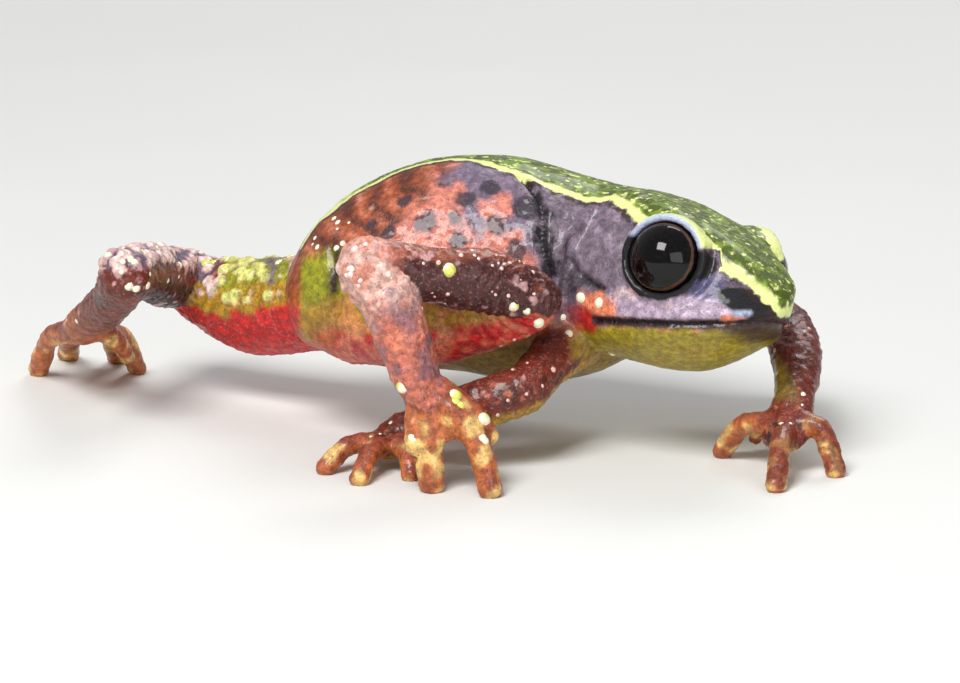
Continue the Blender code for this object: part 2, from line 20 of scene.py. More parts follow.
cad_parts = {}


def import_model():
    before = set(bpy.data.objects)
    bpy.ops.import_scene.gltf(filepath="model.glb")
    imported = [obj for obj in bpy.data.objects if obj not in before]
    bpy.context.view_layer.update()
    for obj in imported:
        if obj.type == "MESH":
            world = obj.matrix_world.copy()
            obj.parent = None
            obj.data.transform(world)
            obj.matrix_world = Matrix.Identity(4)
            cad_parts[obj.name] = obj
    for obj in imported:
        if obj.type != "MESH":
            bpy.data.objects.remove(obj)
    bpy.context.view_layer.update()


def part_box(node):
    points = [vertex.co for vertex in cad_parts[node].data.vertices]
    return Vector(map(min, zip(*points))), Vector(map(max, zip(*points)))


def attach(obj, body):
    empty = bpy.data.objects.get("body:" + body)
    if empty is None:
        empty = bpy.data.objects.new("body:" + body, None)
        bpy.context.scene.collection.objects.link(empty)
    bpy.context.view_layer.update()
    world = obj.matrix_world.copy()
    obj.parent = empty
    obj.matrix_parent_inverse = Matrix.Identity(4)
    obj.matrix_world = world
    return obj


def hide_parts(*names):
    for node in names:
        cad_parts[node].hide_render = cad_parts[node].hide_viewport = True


LOG = logging.getLogger("toad")
MM = 0.001
FAR = 1e9
# Angles at which the round end of a tube has its rings, and the lean past which a tube counts as upright
CAP_ANGLES = (84, 68, 48, 25)
UPRIGHT = 0.2
# Rings between two given sections of head and trunk
RING_STEPS = 5
# What a place counts as lying away from a limb that it is nowhere near
UNREACHED = 9.0
Line = Sequence[Sequence[float]]
Triple = tuple[float, float, float]


class Side(Enum):
    """Side of the animal, as the sign of its leftward axis."""

    LEFT = 1
    RIGHT = -1


class Merge(Enum):
    """Ways in which one form changes another."""

    JOIN = "UNION"
    CUT = "DIFFERENCE"


class Tone(Enum):
    """Colours of the living animal, as screen values from 0 to 255."""

    BACK_GREEN = (70, 84, 16)
    BACK_LIGHT = (116, 138, 34)
    BACK_PALE = (236, 242, 158)
    LID_PALE = (222, 240, 186)
    LID_RIM = (176, 186, 214)
    SALMON = (224, 134, 114)
    FLANK_DARK = (104, 54, 56)
    FLANK_GREY = (122, 104, 124)
    RUST = (158, 76, 42)
    SPOT = (46, 36, 48)
    NECK = (122, 106, 120)
    # Painted shade in the neck folds
    NECK_DARK = (40, 34, 44)
    LAVENDER = (182, 160, 180)
    LAVENDER_BLUE = (84, 78, 120)
    BLACK = (12, 9, 14)
    MAROON = (50, 18, 24)
    THROAT = (172, 154, 30)
    BELLY = (150, 120, 50)
    RED = (204, 26, 24)
    ORANGE_PINK = (232, 136, 100)
    OCHRE = (184, 140, 24)
    YELLOW_GREEN = (156, 156, 30)
    LIMB = (120, 44, 28)
    LIMB_DARK = (46, 20, 20)
    SHANK = (78, 30, 28)
    TARSUS = (196, 108, 88)
    # Painted highlight on the top of the grains
    GRAIN = (206, 158, 160)
    PURPLE = (112, 92, 112)
    PINK_GREY = (238, 196, 184)
    WART = (252, 222, 214)
    DIGIT = (196, 108, 54)
    DIGIT_PINK = (178, 92, 66)
    DIGIT_TIP = (246, 206, 124)
    CREAM = (252, 244, 214)
    LEMON = (226, 230, 110)
    EYE = (5, 5, 7)
    EYE_RING = (96, 64, 46)
    FLOOR = (226, 226, 222)

    @property
    def linear(self) -> tuple[float, float, float]:
        """The colour in linear light, by the usual curve of screens."""
        return tuple((c / 255 + 0.055) ** 2.4 / 1.055**2.4 if c > 10 else c / 3294.6 for c in self.value)


def smooth_points(points: Line, steps: int) -> np.ndarray:
    """Points on a smooth curve through the given ones.

    Args:
        points: Rows of numbers, one row for each given point.
        steps: Steps between each pair of given points.

    Returns:
        Rows of the curve, the last given point included.
    """
    keys = np.array(points, dtype=float)
    last = len(keys) - 1
    out = []
    for i in range(last):
        before, start, end, after = keys[max(i - 1, 0)], keys[i], keys[i + 1], keys[min(i + 2, last)]
        for t in np.arange(steps) / steps:
            bend = 2 * before - 5 * start + 4 * end - after
            twist = 3 * start - before - 3 * end + after
            out.append(0.5 * (2 * start + (end - before) * t + bend * t**2 + twist * t**3))
    out.append(keys[last])
    return np.array(out)


def soft_step(value: np.ndarray, low: float, high: float) -> np.ndarray:
    """Smooth rise from 0 at low to 1 at high."""
    t = np.clip((value - low) / (high - low), 0.0, 1.0)
    return t * t * (3.0 - 2.0 * t)


def bell(away: np.ndarray, width: float) -> np.ndarray:
    """Bump of height 1 where away is 0, fading over this width."""
    return np.exp(-((away / width) ** 2))


def swell(places: np.ndarray, per_mm: float, seed: float = 0.0) -> np.ndarray:
    """Smooth noise from about -1 to 1 at each place, with this many swells in a millimetre."""
    return np.array([noise.noise(Vector(row)) for row in places * per_mm + seed])


def granules(places: np.ndarray, per_mm: float, seed: float = 0.0) -> np.ndarray:
    """Close-set round grains: 1 at the top of each, 0 between them, this many in a millimetre."""
    away = np.array([noise.voronoi(Vector(row))[0][0] for row in places * per_mm + seed])
    return np.clip(1.0 - (away / 0.62) ** 2, 0.0, 1.0)


def object_from(name: str, bm: bmesh.types.BMesh) -> bpy.types.Object:
    """Put a mesh in the scene and free it.

    Args:
        name: Name of the new object.
        bm: Mesh that it takes over.

    Returns:
        The object in the scene.
    """
    mesh = bpy.data.meshes.new(name)
    bm.to_mesh(mesh)
    bm.free()
    item = bpy.data.objects.new(name, mesh)
    bpy.context.scene.collection.objects.link(item)
    return item


def settle(item: bpy.types.Object) -> None:
    """Turn an object's modifiers into its mesh.

    Args:
        item: The object, which keeps its name and place.
    """
    bpy.context.view_layer.update()
    graph = bpy.context.evaluated_depsgraph_get()
    shaped = item.evaluated_get(graph)
    mesh = bpy.data.meshes.new_from_object(shaped, preserve_all_data_layers=True, depsgraph=graph)
    item.modifiers.clear()
    old = item.data
    item.data = mesh
    bpy.data.meshes.remove(old)


def combine(item: bpy.types.Object, other: bpy.types.Object, way: Merge) -> None:
    """Join or cut an object with another one, which is then removed.

    Args:
        item: The object that is changed.
        other: The object that it is joined or cut with.
        way: Whether the two are joined or the second is cut away.
    """
    mod = item.modifiers.new(way.name.lower(), "BOOLEAN")
    mod.operation = way.value
    mod.solver = "EXACT"
    mod.object = other
    settle(item)
    bpy.data.objects.remove(other, do_unlink=True)


def loft(rings: list[list[Vector]]) -> bmesh.types.BMesh:
    """Closed shell drawn by pulling one ring of points on to the next.

    Args:
        rings: Rings of equal length, each a list of places.

    Returns:
        A closed mesh with its faces pointing out.
    """
    bm = bmesh.new()
    front = bmesh.ops.create_circle(bm, cap_ends=False, radius=1.0, segments=len(rings[0]))["verts"]
    for vert, place in zip(front, rings[0]):
        vert.co = place
    first_edges = list(bm.edges)
    edges = first_edges
    for ring in rings[1:]:
        order = {vert: k for k, vert in enumerate(front)}
        pulled = bmesh.ops.extrude_edge_only(bm, edges=edges)["geom"]
        front = [None] * len(ring)
        for vert in (g for g in pulled if isinstance(g, bmesh.types.BMVert)):
            for edge in vert.link_edges:
                old = edge.other_vert(vert)
                if old in order:
                    front[order[old]] = vert
        for vert, place in zip(front, ring):
            vert.co = place
        now = set(front)
        rim = (g for g in pulled if isinstance(g, bmesh.types.BMEdge))
        edges = [e for e in rim if e.verts[0] in now and e.verts[1] in now]
    bmesh.ops.edgeloop_fill(bm, edges=first_edges)
    bmesh.ops.edgeloop_fill(bm, edges=edges)
    bmesh.ops.recalc_face_normals(bm, faces=bm.faces)
    return bm


def rings_between(keys: list[list[Vector]], steps: int) -> list[list[Vector]]:
    """Rings along a body, with smooth steps between the given ones."""
    flat = [np.array([c for place in ring for c in place]) for ring in keys]
    return [[Vector(row) for row in ring.reshape(-1, 3)] for ring in smooth_points(flat, steps)]


def tube(line: Line, steps: int = 6, sides: int = 20) -> bmesh.types.BMesh:
    """Round-ended tube along a line.

    Args:
        line: Points that hold x, y, z and the half thickness sideways and up.
        steps: Steps between two given points.
        sides: Points round each ring.

    Returns:
        A closed mesh.
    """
    stations = smooth_points(line, steps)
    places = [Vector(s[:3]) for s in stations]
    last = len(places) - 1
    cap = [(math.sin(math.radians(a)), math.cos(math.radians(a))) for a in CAP_ANGLES]
    rings = []
    for i, place in enumerate(places):
        along = (places[min(i + 1, last)] - places[max(i - 1, 0)]).normalized()
        side = along.cross(Vector((0.0, 0.0, 1.0)))
        if side.length < UPRIGHT:
            side = along.cross(Vector((1.0, 0.0, 0.0)))
        side.normalize()
        above = side.cross(along)
        wide, high = stations[i][3], stations[i][4]
        shrink = [(0.0, 1.0)]
        if i == 0:
            shrink = [(-push, scale) for push, scale in cap] + shrink
        if i == last:
            shrink = shrink + [(push, scale) for push, scale in reversed(cap)]
        for push, scale in shrink:
            centre = place + along * (push * min(wide, high))
            turns = [2 * math.pi * k / sides for k in range(sides)]
            ring = []
            for turn in turns:
                out = side * (wide * scale * math.cos(turn)) + above * (high * scale * math.sin(turn))
                ring.append(centre + out)
            rings.append(ring)
    return loft(rings)


def ball(centre: Sequence[float], radius: float, squash: Triple = (1.0, 1.0, 1.0),
         rows: int = 24) -> bmesh.types.BMesh:
    """Round or squashed ball.

    Args:
        centre: Its middle.
        radius: Its half width before it is squashed.
        squash: Factors along the three axes.
        rows: Bands of faces from pole to pole.

    Returns:
        A closed mesh.
    """
    bm = bmesh.new()
    shape = Matrix.Translation(centre) @ Matrix.Diagonal((*[radius * s for s in squash], 1.0))
    bmesh.ops.create_uvsphere(bm, u_segments=rows * 2, v_segments=rows, radius=1.0, matrix=shape)
    return bm


@dataclass(frozen=True)
class Stroke:
    """Chain of round dabs along a line: each point is x, y, z and a half width."""

    points: tuple[tuple[float, float, float, float], ...]

    def depth(self, places: np.ndarray) -> np.ndarray:
        """Depth of each place inside the stroke.

        Args:
            places: Places in the frame that the stroke is drawn in.

        Returns:
            One depth for each place, negative outside the stroke.
        """
        best = np.full(len(places), -FAR)
        for dab in smooth_points(self.points, 8) if len(self.points) > 1 else np.array(self.points):
            best = np.maximum(best, dab[3] - np.linalg.norm(places - dab[:3], axis=1))
        return best


@dataclass(frozen=True)
class Head:
    """Head: its place and turn, its sections from neck to snout, and what is set in it."""

    place: Triple = (15.16, -7.0, 11.4)
    yaw: float = math.radians(-46.0)
    roll: float = math.radians(-15.0)
    neck_x: float = -6.0
    neck_lead: float = 0.4
    ring_points: int = 60
    # x, crown height, brow (y, z), cheek (y, z), lip (y, z), throat (y, z), throat depth
    sections: tuple = (
        (-6.9, 3.1, (3.0, 2.35), (5.0, -1.1), (4.9, -3.9), (3.5, -5.9), -6.8),
        (-5.4, 3.15, (2.9, 2.55), (4.8, -0.9), (4.9, -4.1), (3.5, -6.0), -6.7),
        (-3.6, 2.9, (2.8, 2.5), (4.6, -0.8), (4.95, -4.3), (3.6, -6.0), -6.7),
        (-1.5, 2.45, (2.6, 2.2), (4.4, -0.9), (4.8, -4.3), (3.4, -5.9), -6.7),
        (0.5, 1.95, (2.4, 1.85), (4.2, -1.2), (4.5, -4.0), (3.0, -5.5), -6.35),
        (2.2, 1.4, (2.1, 1.25), (3.4, -1.5), (3.8, -3.7), (2.4, -4.8), -5.4),
        (3.7, 0.7, (1.75, 0.55), (2.5, -1.5), (2.85, -3.3), (1.7, -4.05), -4.3),
        (4.85, 0.0, (1.35, -0.15), (1.8, -1.5), (1.8, -2.85), (1.0, -3.3), -3.45),
        (5.55, -0.5, (1.0, -0.65), (1.25, -1.55), (1.05, -2.45), (0.55, -2.75), -2.8),
        (5.95, -0.9, (0.65, -1.0), (0.8, -1.5), (0.6, -2.05), (0.35, -2.2), -2.25),
    )
    snout_tip: Triple = (6.15, 0.0, -1.5)
    snout_share: float = 0.35
    eye_radius: float = 2.2
    eye_place: Triple = (-0.3, 3.45, -0.35)
    eye_axis: Triple = (0.34, 0.92, 0.12)
    lid_thickness: float = 0.5
    lid_squash: Triple = (1.03, 1.0, 0.97)
    lid_half_long: float = math.radians(69.0)
    lid_half_high: float = math.radians(65.0)
    mouth_line: tuple = (
        (-3.7, 4.95, -4.65, 0.0), (-1.5, 4.85, -4.35, 0.0), (0.5, 4.5, -4.05, 0.0), (2.2, 3.8, -3.75, 0.0),
        (3.7, 2.8, -3.35, 0.0), (4.75, 1.7, -2.95, 0.0), (5.25, 0.85, -2.7, 0.0), (5.45, 0.0, -2.6, 0.0),
    )
    nostril: Triple = (4.95, 1.4, -0.85)
    opening_reach: float = 2.4
    opening_point: float = 0.02

    def matrix(self) -> Matrix:
        """Placement of the head in the design frame."""
        turn = Matrix.Rotation(self.yaw, 4, "Z") @ Matrix.Rotation(self.roll, 4, "X")
        return Matrix.Translation(self.place) @ turn

    def folded(self, places: np.ndarray) -> np.ndarray:
        """Places in the head's own frame, with its right side folded on to its left.

        Args:
            places: Places in the design frame.

        Returns:
            The same places as the head sees them.
        """
        turn = np.array(self.matrix().to_3x3())
        own = (places - np.array(self.place)) @ turn
        own[:, 1] = np.abs(own[:, 1])
        return own

    def section_at(self, x: float) -> tuple:
        """Section at any distance along the head, worked out between the given ones.

        Args:
            x: Distance along the head.

        Returns:
            A section like the given ones.
        """
        spots = [s[0] for s in self.sections]
        table = np.array([[s[1], *s[2], *s[3], *s[4], *s[5], s[6]] for s in self.sections])
        v = [float(np.interp(x, spots, table[:, column])) for column in range(table.shape[1])]
        return (x, v[0], (v[1], v[2]), (v[3], v[4]), (v[5], v[6]), (v[7], v[8]), v[9])

    def ring(self, section: tuple) -> list[Vector]:
        """Ring of places round the head at one section, from the crown leftwards.

        Args:
            section: One section of the head.

        Returns:
            The places, in the head's own frame.
        """
        x, crown, brow, cheek, lip, throat, floor = section
        left = [(0.0, crown), brow, cheek, lip, throat, (0.0, floor)]
        loop = left + [(-y, z) for y, z in reversed(left[1:-1])]
        steps = self.ring_points // len(loop)
        curve = smooth_points([loop[-1]] + loop + loop[:2], steps)[steps : steps + self.ring_points]
        return [Vector((x, y, z)) for y, z in curve]

    def build(self) -> bpy.types.Object:
        """Head with open lids and sockets.

        Returns:
            Its form in the design frame.
        """
        keys = [self.ring(self.section_at(self.neck_x - self.neck_lead))]
        keys += [self.ring(s) for s in self.sections if s[0] > self.neck_x]
        tip = [Vector(self.snout_tip).lerp(p, self.snout_share) for p in keys[-1]]
        for place in tip:
            place.x = self.snout_tip[0]
        head = object_from("head_form", loft(rings_between(keys + [tip], RING_STEPS)))
        for side in Side:
            reach = self.eye_radius + self.lid_thickness
            lids = ball(self.on(side, self.eye_place), reach, self.lid_squash)
            combine(head, object_from("lids", lids), Merge.JOIN)
        for side in Side:
            socket = ball(self.on(side, self.eye_place), self.eye_radius)
            combine(head, object_from("socket", socket), Merge.CUT)
            combine(head, self.opening(side), Merge.CUT)
        head.data.transform(self.matrix())
        return head

    def on(self, side: Side, place: Sequence[float]) -> Vector:
        """The same place on the named side of the head."""
        return Vector((place[0], place[1] * side.value, place[2]))

    def opening(self, side: Side) -> bpy.types.Object:
        """Cone that opens the lids, with its point at the middle of the eyeball.

        Args:
            side: Side of the eye.

        Returns:
            The cone in the head's own frame.
        """
        reach = self.eye_radius * self.opening_reach
        spread = (math.tan(self.lid_half_long), math.tan(self.lid_half_high), 1.0)
        bm = bmesh.new()
        bmesh.ops.create_cone(bm, cap_ends=True, segments=48, radius1=self.opening_point, radius2=reach,
                              depth=reach)
        bmesh.ops.translate(bm, verts=bm.verts, vec=(0.0, 0.0, reach / 2))
        bmesh.ops.scale(bm, verts=bm.verts, vec=spread)
        outward = self.on(side, self.eye_axis).normalized()
        along = (Vector((1.0, 0.0, 0.0)) - outward * outward.x).normalized()
        turn = Matrix((along, outward.cross(along), outward)).transposed().to_4x4()
        place = Matrix.Translation(self.on(side, self.eye_place)) @ turn
        bmesh.ops.transform(bm, matrix=place, verts=bm.verts)
        bmesh.ops.recalc_face_normals(bm, faces=bm.faces)
        return object_from("opening", bm)


@dataclass(frozen=True)
class Trunk:
    """Trunk: its sections from vent to shoulders and its lean to the left."""

    # centre, half width, height above and depth below the centre
    sections: tuple = (
        ((-9.45, -1.55, 7.5), 0.7, 0.8, 0.8),
        ((-9.2, -1.55, 7.6), 1.9, 1.8, 1.7),
        ((-8.3, -1.5, 7.8), 3.3, 3.0, 2.9),
        ((-6.8, -1.2, 8.3), 4.5, 4.3, 3.9),
        ((-4.3, -0.7, 8.9), 5.4, 5.5, 4.9),
        ((-1.0, -0.3, 9.3), 6.1, 6.4, 5.8),
        ((3.0, -0.5, 9.35), 6.3, 6.6, 6.35),
        ((6.4, -1.3, 9.2), 5.9, 6.1, 6.2),
        ((8.9, -2.2, 9.2), 5.3, 5.6, 5.4),
    )
    roll: float = math.radians(-9.0)
    rump_x: float = -9.6
    level_share: float = 0.3
    neck_lead: float = 0.3
    neck_middle_z: float = -1.7
    neck_fold: float = 0.1
    neck_taper: float = 0.06
    neck_overlap: float = 1.2

    def folded(self, places: np.ndarray) -> np.ndarray:
        """Places in the trunk's own frame, with its right side folded on to its left.

        Args:
            places: Places in the design frame.

        Returns:
            Distances along, sideways from the middle plane and above the centre line.
        """
        spots, across, above = np.array([section[0] for section in self.sections]).T
        aside = places[:, 1] - np.interp(places[:, 0], spots, across)
        up = places[:, 2] - np.interp(places[:, 0], spots, above)
        c, s = math.cos(self.roll), math.sin(self.roll)
        return np.stack([places[:, 0], np.abs(aside * c + up * s), up * c - aside * s], axis=1)

    def outside(self, folded: np.ndarray) -> np.ndarray:
        """Rough distance of places outside the trunk's surface.

        Args:
            folded: Places in the trunk's own frame.

        Returns:
            One distance for each place, negative inside.
        """
        spots = [section[0][0] for section in self.sections]
        sizes = np.array([section[1:] for section in self.sections]).T
        wide, high, deep = [np.interp(folded[:, 0], spots, row) for row in sizes]
        tall = np.where(folded[:, 2] > 0, high, deep)
        rim = np.sqrt((folded[:, 1] / wide) ** 2 + (folded[:, 2] / tall) ** 2)
        return (rim - 1.0) * np.minimum(wide, tall) + np.maximum(self.rump_x - folded[:, 0], 0.0)

    def build(self, head: Head) -> bpy.types.Object:
        """Trunk whose front end runs a little way into the head.

        Args:
            head: The head that it joins.

        Returns:
            Its form in the design frame.
        """
        places = [Vector(s[0]) for s in self.sections]
        turn = head.matrix()
        forward = turn.to_3x3() @ Vector((1.0, 0.0, 0.0))
        neck = [turn @ place for place in head.ring(head.section_at(head.neck_x - self.neck_lead))]
        middle = turn @ Vector((head.neck_x, 0.0, self.neck_middle_z))
        rings = []
        for i, (centre, wide, high, deep) in enumerate(self.sections):
            after = places[i + 1] if i + 1 < len(places) else middle
            along = (after - places[max(i - 1, 0)]).normalized()
            along.z *= self.level_share
            along.normalize()
            left = Vector((0.0, 0.0, 1.0)).cross(along).normalized()
            lean = Matrix.Rotation(self.roll, 3, along)
            up = lean @ along.cross(left)
            left = lean @ left
            ring = []
            for k in range(head.ring_points):
                angle = 2 * math.pi * k / head.ring_points
                rise = math.cos(angle)
                tall = high if rise > 0 else deep
                ring.append(Vector(centre) + left * (wide * math.sin(angle)) + up * (rise * tall))
            rings.append(ring)
        rings = rings_between(rings + [neck], RING_STEPS)
        for ring in rings[:-1]:
            for place in ring:
                ahead = (place - neck[0]).dot(forward) + self.neck_fold
                if ahead > 0.0:
                    place -= forward * ahead
        rings.append([p.lerp(middle, self.neck_taper) + forward * self.neck_overlap for p in neck])
        return object_from("trunk_form", loft(rings))


@dataclass(frozen=True)
class Limb:
    """One limb: its three lines, its digits and whether skin joins them."""

    # Upper part, middle part, and hand or foot: points with a half width and a half height
    lines: tuple
    # Root, knuckle and tip of each digit, and its half width at root and tip
    digits: tuple
    webbed: bool
    digit_waist: float = 0.94
    pad_flatness: float = 0.85
    web_share: float = 0.45
    web_half: float = 0.42
    web_width: float = 1.2
    web_strands: tuple[float, ...] = (0.2, 0.4, 0.6, 0.8)

    def digit_line(self, digit: tuple) -> Line:
        """Line of one finger or toe, from its root over the knuckle to the pad.

        Args:
            digit: One of the limb's digits.

        Returns:
            Points with a half width and a half height.
        """
        root, knuckle, tip, root_size, tip_size = digit
        middle = 0.5 * (root_size + tip_size) * self.digit_waist
        pad = (*tip, tip_size, tip_size * self.pad_flatness)
        return ((*root, root_size, root_size), (*knuckle, middle, middle), pad)

    def build(self) -> list[bpy.types.Object]:
        """Overlapping forms of the whole limb.

        Returns:
            The forms of its parts, its digits and the skin between them.
        """
        forms = [tube(line) for line in self.lines]
        forms += [tube(self.digit_line(digit), 6, 16) for digit in self.digits]
        for one, two in zip(self.digits, self.digits[1:]) if self.webbed else ():
            for share in self.web_strands:
                ends = []
                for reach in (0.0, self.web_share, 2 * self.web_share):
                    spots = [Vector(toe[0]).lerp(Vector(toe[1]), reach) for toe in (one, two)]
                    spot = spots[0].lerp(spots[1], share)
                    ends.append((*spot, self.web_half * self.web_width, self.web_half))
                forms.append(tube(ends, 3, 12))
        return [object_from("limb_form", form) for form in forms]

    def nearest(self, places: np.ndarray) -> dict[str, np.ndarray]:
        """What each place lies nearest to on this limb.

        Args:
            places: Places in the design frame.

        Returns:
            Distance outside the limb, which line it is (3 for a digit), how far along, and how high
            round it, from -1 underneath to 1 on top.
        """
        found = {key: np.full(len(places), UNREACHED) for key in ("out", "line", "along", "height")}
        lines = [(k, line) for k, line in enumerate(self.lines)]
        lines += [(3, self.digit_line(digit)) for digit in self.digits]
        for kind, line in lines:
            stations = smooth_points(line, 6)
            for k, (x, y, z, wide, high) in enumerate(stations):
                away = places - np.array((x, y, z))
                length = np.linalg.norm(away, axis=1)
                out = length - 0.5 * (wide + high)
                closer = out < found["out"]
                found["out"][closer] = out[closer]
                found["line"][closer] = kind
                found["along"][closer] = k / (len(stations) - 1)
                found["height"][closer] = away[closer, 2] / length[closer]
        return found


HIND_RIGHT = Limb(
    lines=(
        ((-5.6, -2.6, 7.2, 2.7, 2.9), (-2.2, -5.9, 7.6, 2.6, 2.8), (1.4, -8.0, 8.5, 2.2, 2.4),
         (4.5, -9.4, 9.5, 1.7, 1.8)),
        ((4.7, -9.5, 9.7, 1.65, 1.65), (2.3, -10.3, 10.9, 1.75, 1.8), (-0.6, -11.3, 11.5, 1.6, 1.65),
         (-3.2, -12.1, 12.2, 1.5, 1.5), (-4.7, -12.5, 12.5, 1.6, 1.6)),
        ((-4.7, -12.6, 12.3, 1.6, 1.65), (-3.5, -13.0, 10.6, 1.75, 1.7), (-2.6, -13.5, 8.4, 1.7, 1.5),
         (-1.9, -14.0, 6.4, 1.7, 1.25), (-1.2, -14.3, 5.0, 1.5, 1.0)),
    ),
    digits=(
        ((-0.8, -13.9, 5.8), (0.6, -13.7, 4.9), (1.4, -13.5, 3.9), 0.68, 0.55),
        ((-0.6, -14.2, 5.6), (1.4, -14.7, 4.3), (2.35, -14.8, 3.0), 0.74, 0.6),
        ((-0.9, -14.4, 5.4), (1.35, -15.6, 3.3), (2.35, -16.7, 0.42), 0.86, 0.76),
        ((-1.6, -14.3, 5.4), (-1.15, -15.1, 2.7), (-1.0, -15.5, 0.45), 1.0, 0.88),
        ((-1.7, -14.1, 5.6), (-1.95, -15.0, 3.7), (-1.95, -15.5, 2.6), 0.78, 0.62),
    ),
    webbed=True,
)
HIND_LEFT = Limb(
    lines=(
        ((-5.8, 1.4, 7.2, 2.6, 2.8), (-8.8, 3.6, 6.2, 2.5, 2.9), (-11.9, 5.6, 5.6, 2.2, 2.8),
         (-14.6, 7.6, 6.0, 1.8, 2.1), (-15.8, 8.5, 6.5, 1.7, 1.8)),
        ((-15.8, 8.5, 6.5, 1.7, 1.75), (-16.9, 5.6, 7.4, 1.7, 1.75), (-17.9, 2.4, 8.4, 1.55, 1.6),
         (-18.6, -0.6, 9.1, 1.5, 1.55), (-18.8, -1.9, 9.3, 1.55, 1.6)),
        ((-18.8, -1.8, 9.1, 1.5, 1.5), (-19.5, 0.6, 7.4, 1.4, 1.3), (-20.4, 3.0, 6.0, 1.45, 1.15),
         (-21.3, 5.3, 4.7, 1.55, 1.0), (-21.7, 6.6, 3.8, 1.4, 0.85)),
    ),
    digits=(
        ((-20.8, 5.7, 4.3), (-19.7, 7.0, 3.0), (-19.2, 8.0, 1.9), 0.66, 0.54),
        ((-21.1, 6.3, 4.0), (-19.6, 9.4, 2.8), (-18.8, 11.5, 0.3), 0.7, 0.62),
        ((-21.5, 6.6, 3.9), (-20.6, 11.0, 2.8), (-20.1, 14.3, 0.32), 0.74, 0.68),
        ((-21.9, 6.6, 3.9), (-22.7, 11.2, 2.8), (-23.1, 15.0, 0.32), 0.74, 0.68),
        ((-22.2, 6.0, 4.1), (-23.9, 9.0, 2.8), (-24.7, 11.2, 0.3), 0.7, 0.64),
    ),
    webbed=True,
)
FORE_LEFT = Limb(
    lines=(
        ((9.0, -0.2, 7.0, 2.1, 2.3), (12.2, 1.0, 6.7, 1.65, 1.75), (15.6, 1.3, 6.4, 1.4, 1.45),
         (18.9, 0.9, 6.1, 1.35, 1.35)),
        ((19.0, 0.8, 6.1, 1.35, 1.35), (19.7, -2.2, 5.9, 1.5, 1.45), (20.0, -5.8, 5.0, 1.4, 1.35),
         (19.8, -9.0, 3.7, 1.15, 1.0)),
        ((19.8, -8.9, 3.7, 1.15, 1.0), (19.4, -10.3, 2.6, 1.5, 0.85), (19.1, -11.2, 1.9, 1.3, 0.75)),
    ),
    digits=(
        ((18.8, -9.6, 2.7), (17.9, -8.4, 2.0), (17.6, -7.5, 1.0), 0.62, 0.5),
        ((18.6, -10.3, 2.5), (17.0, -9.2, 2.3), (15.7, -7.9, 0.34), 0.72, 0.68),
        ((19.2, -11.0, 2.2), (18.8, -13.3, 2.0), (18.5, -15.6, 0.36), 0.7, 0.68),
        ((19.8, -10.6, 2.5), (21.2, -11.2, 2.5), (22.0, -12.3, 0.34), 0.7, 0.66),
    ),
    webbed=False,
)
FORE_RIGHT = Limb(
    lines=(
        ((8.2, -3.0, 7.0, 2.1, 2.3), (6.6, -6.0, 6.1, 1.65, 1.75), (5.3, -8.2, 5.2, 1.4, 1.45),
         (4.4, -9.8, 4.5, 1.35, 1.35)),
        ((4.4, -9.8, 4.5, 1.35, 1.35), (2.4, -10.3, 3.9, 1.45, 1.45), (-0.2, -9.8, 2.9, 1.3, 1.25),
         (-2.6, -9.0, 2.0, 1.1, 0.95)),
        ((-2.5, -9.0, 2.0, 1.1, 0.95), (-3.4, -9.7, 1.4, 1.45, 0.8), (-3.7, -10.5, 1.15, 1.25, 0.7)),
    ),
    digits=(
        ((-2.9, -10.0, 1.6), (-1.8, -10.8, 1.2), (-1.1, -11.2, 0.5), 0.6, 0.52),
        ((-3.2, -10.3, 1.4), (-2.4, -12.0, 1.3), (-2.2, -13.1, 0.3), 0.68, 0.62),
        ((-3.8, -10.6, 1.3), (-4.5, -12.4, 1.4), (-5.1, -14.1, 0.32), 0.7, 0.66),
        ((-4.2, -10.1, 1.4), (-5.8, -10.9, 1.4), (-7.1, -11.7, 0.3), 0.68, 0.62),
    ),
    webbed=False,
)
LIMBS = {"hind_right": HIND_RIGHT, "hind_left": HIND_LEFT, "fore_left": FORE_LEFT, "fore_right": FORE_RIGHT}


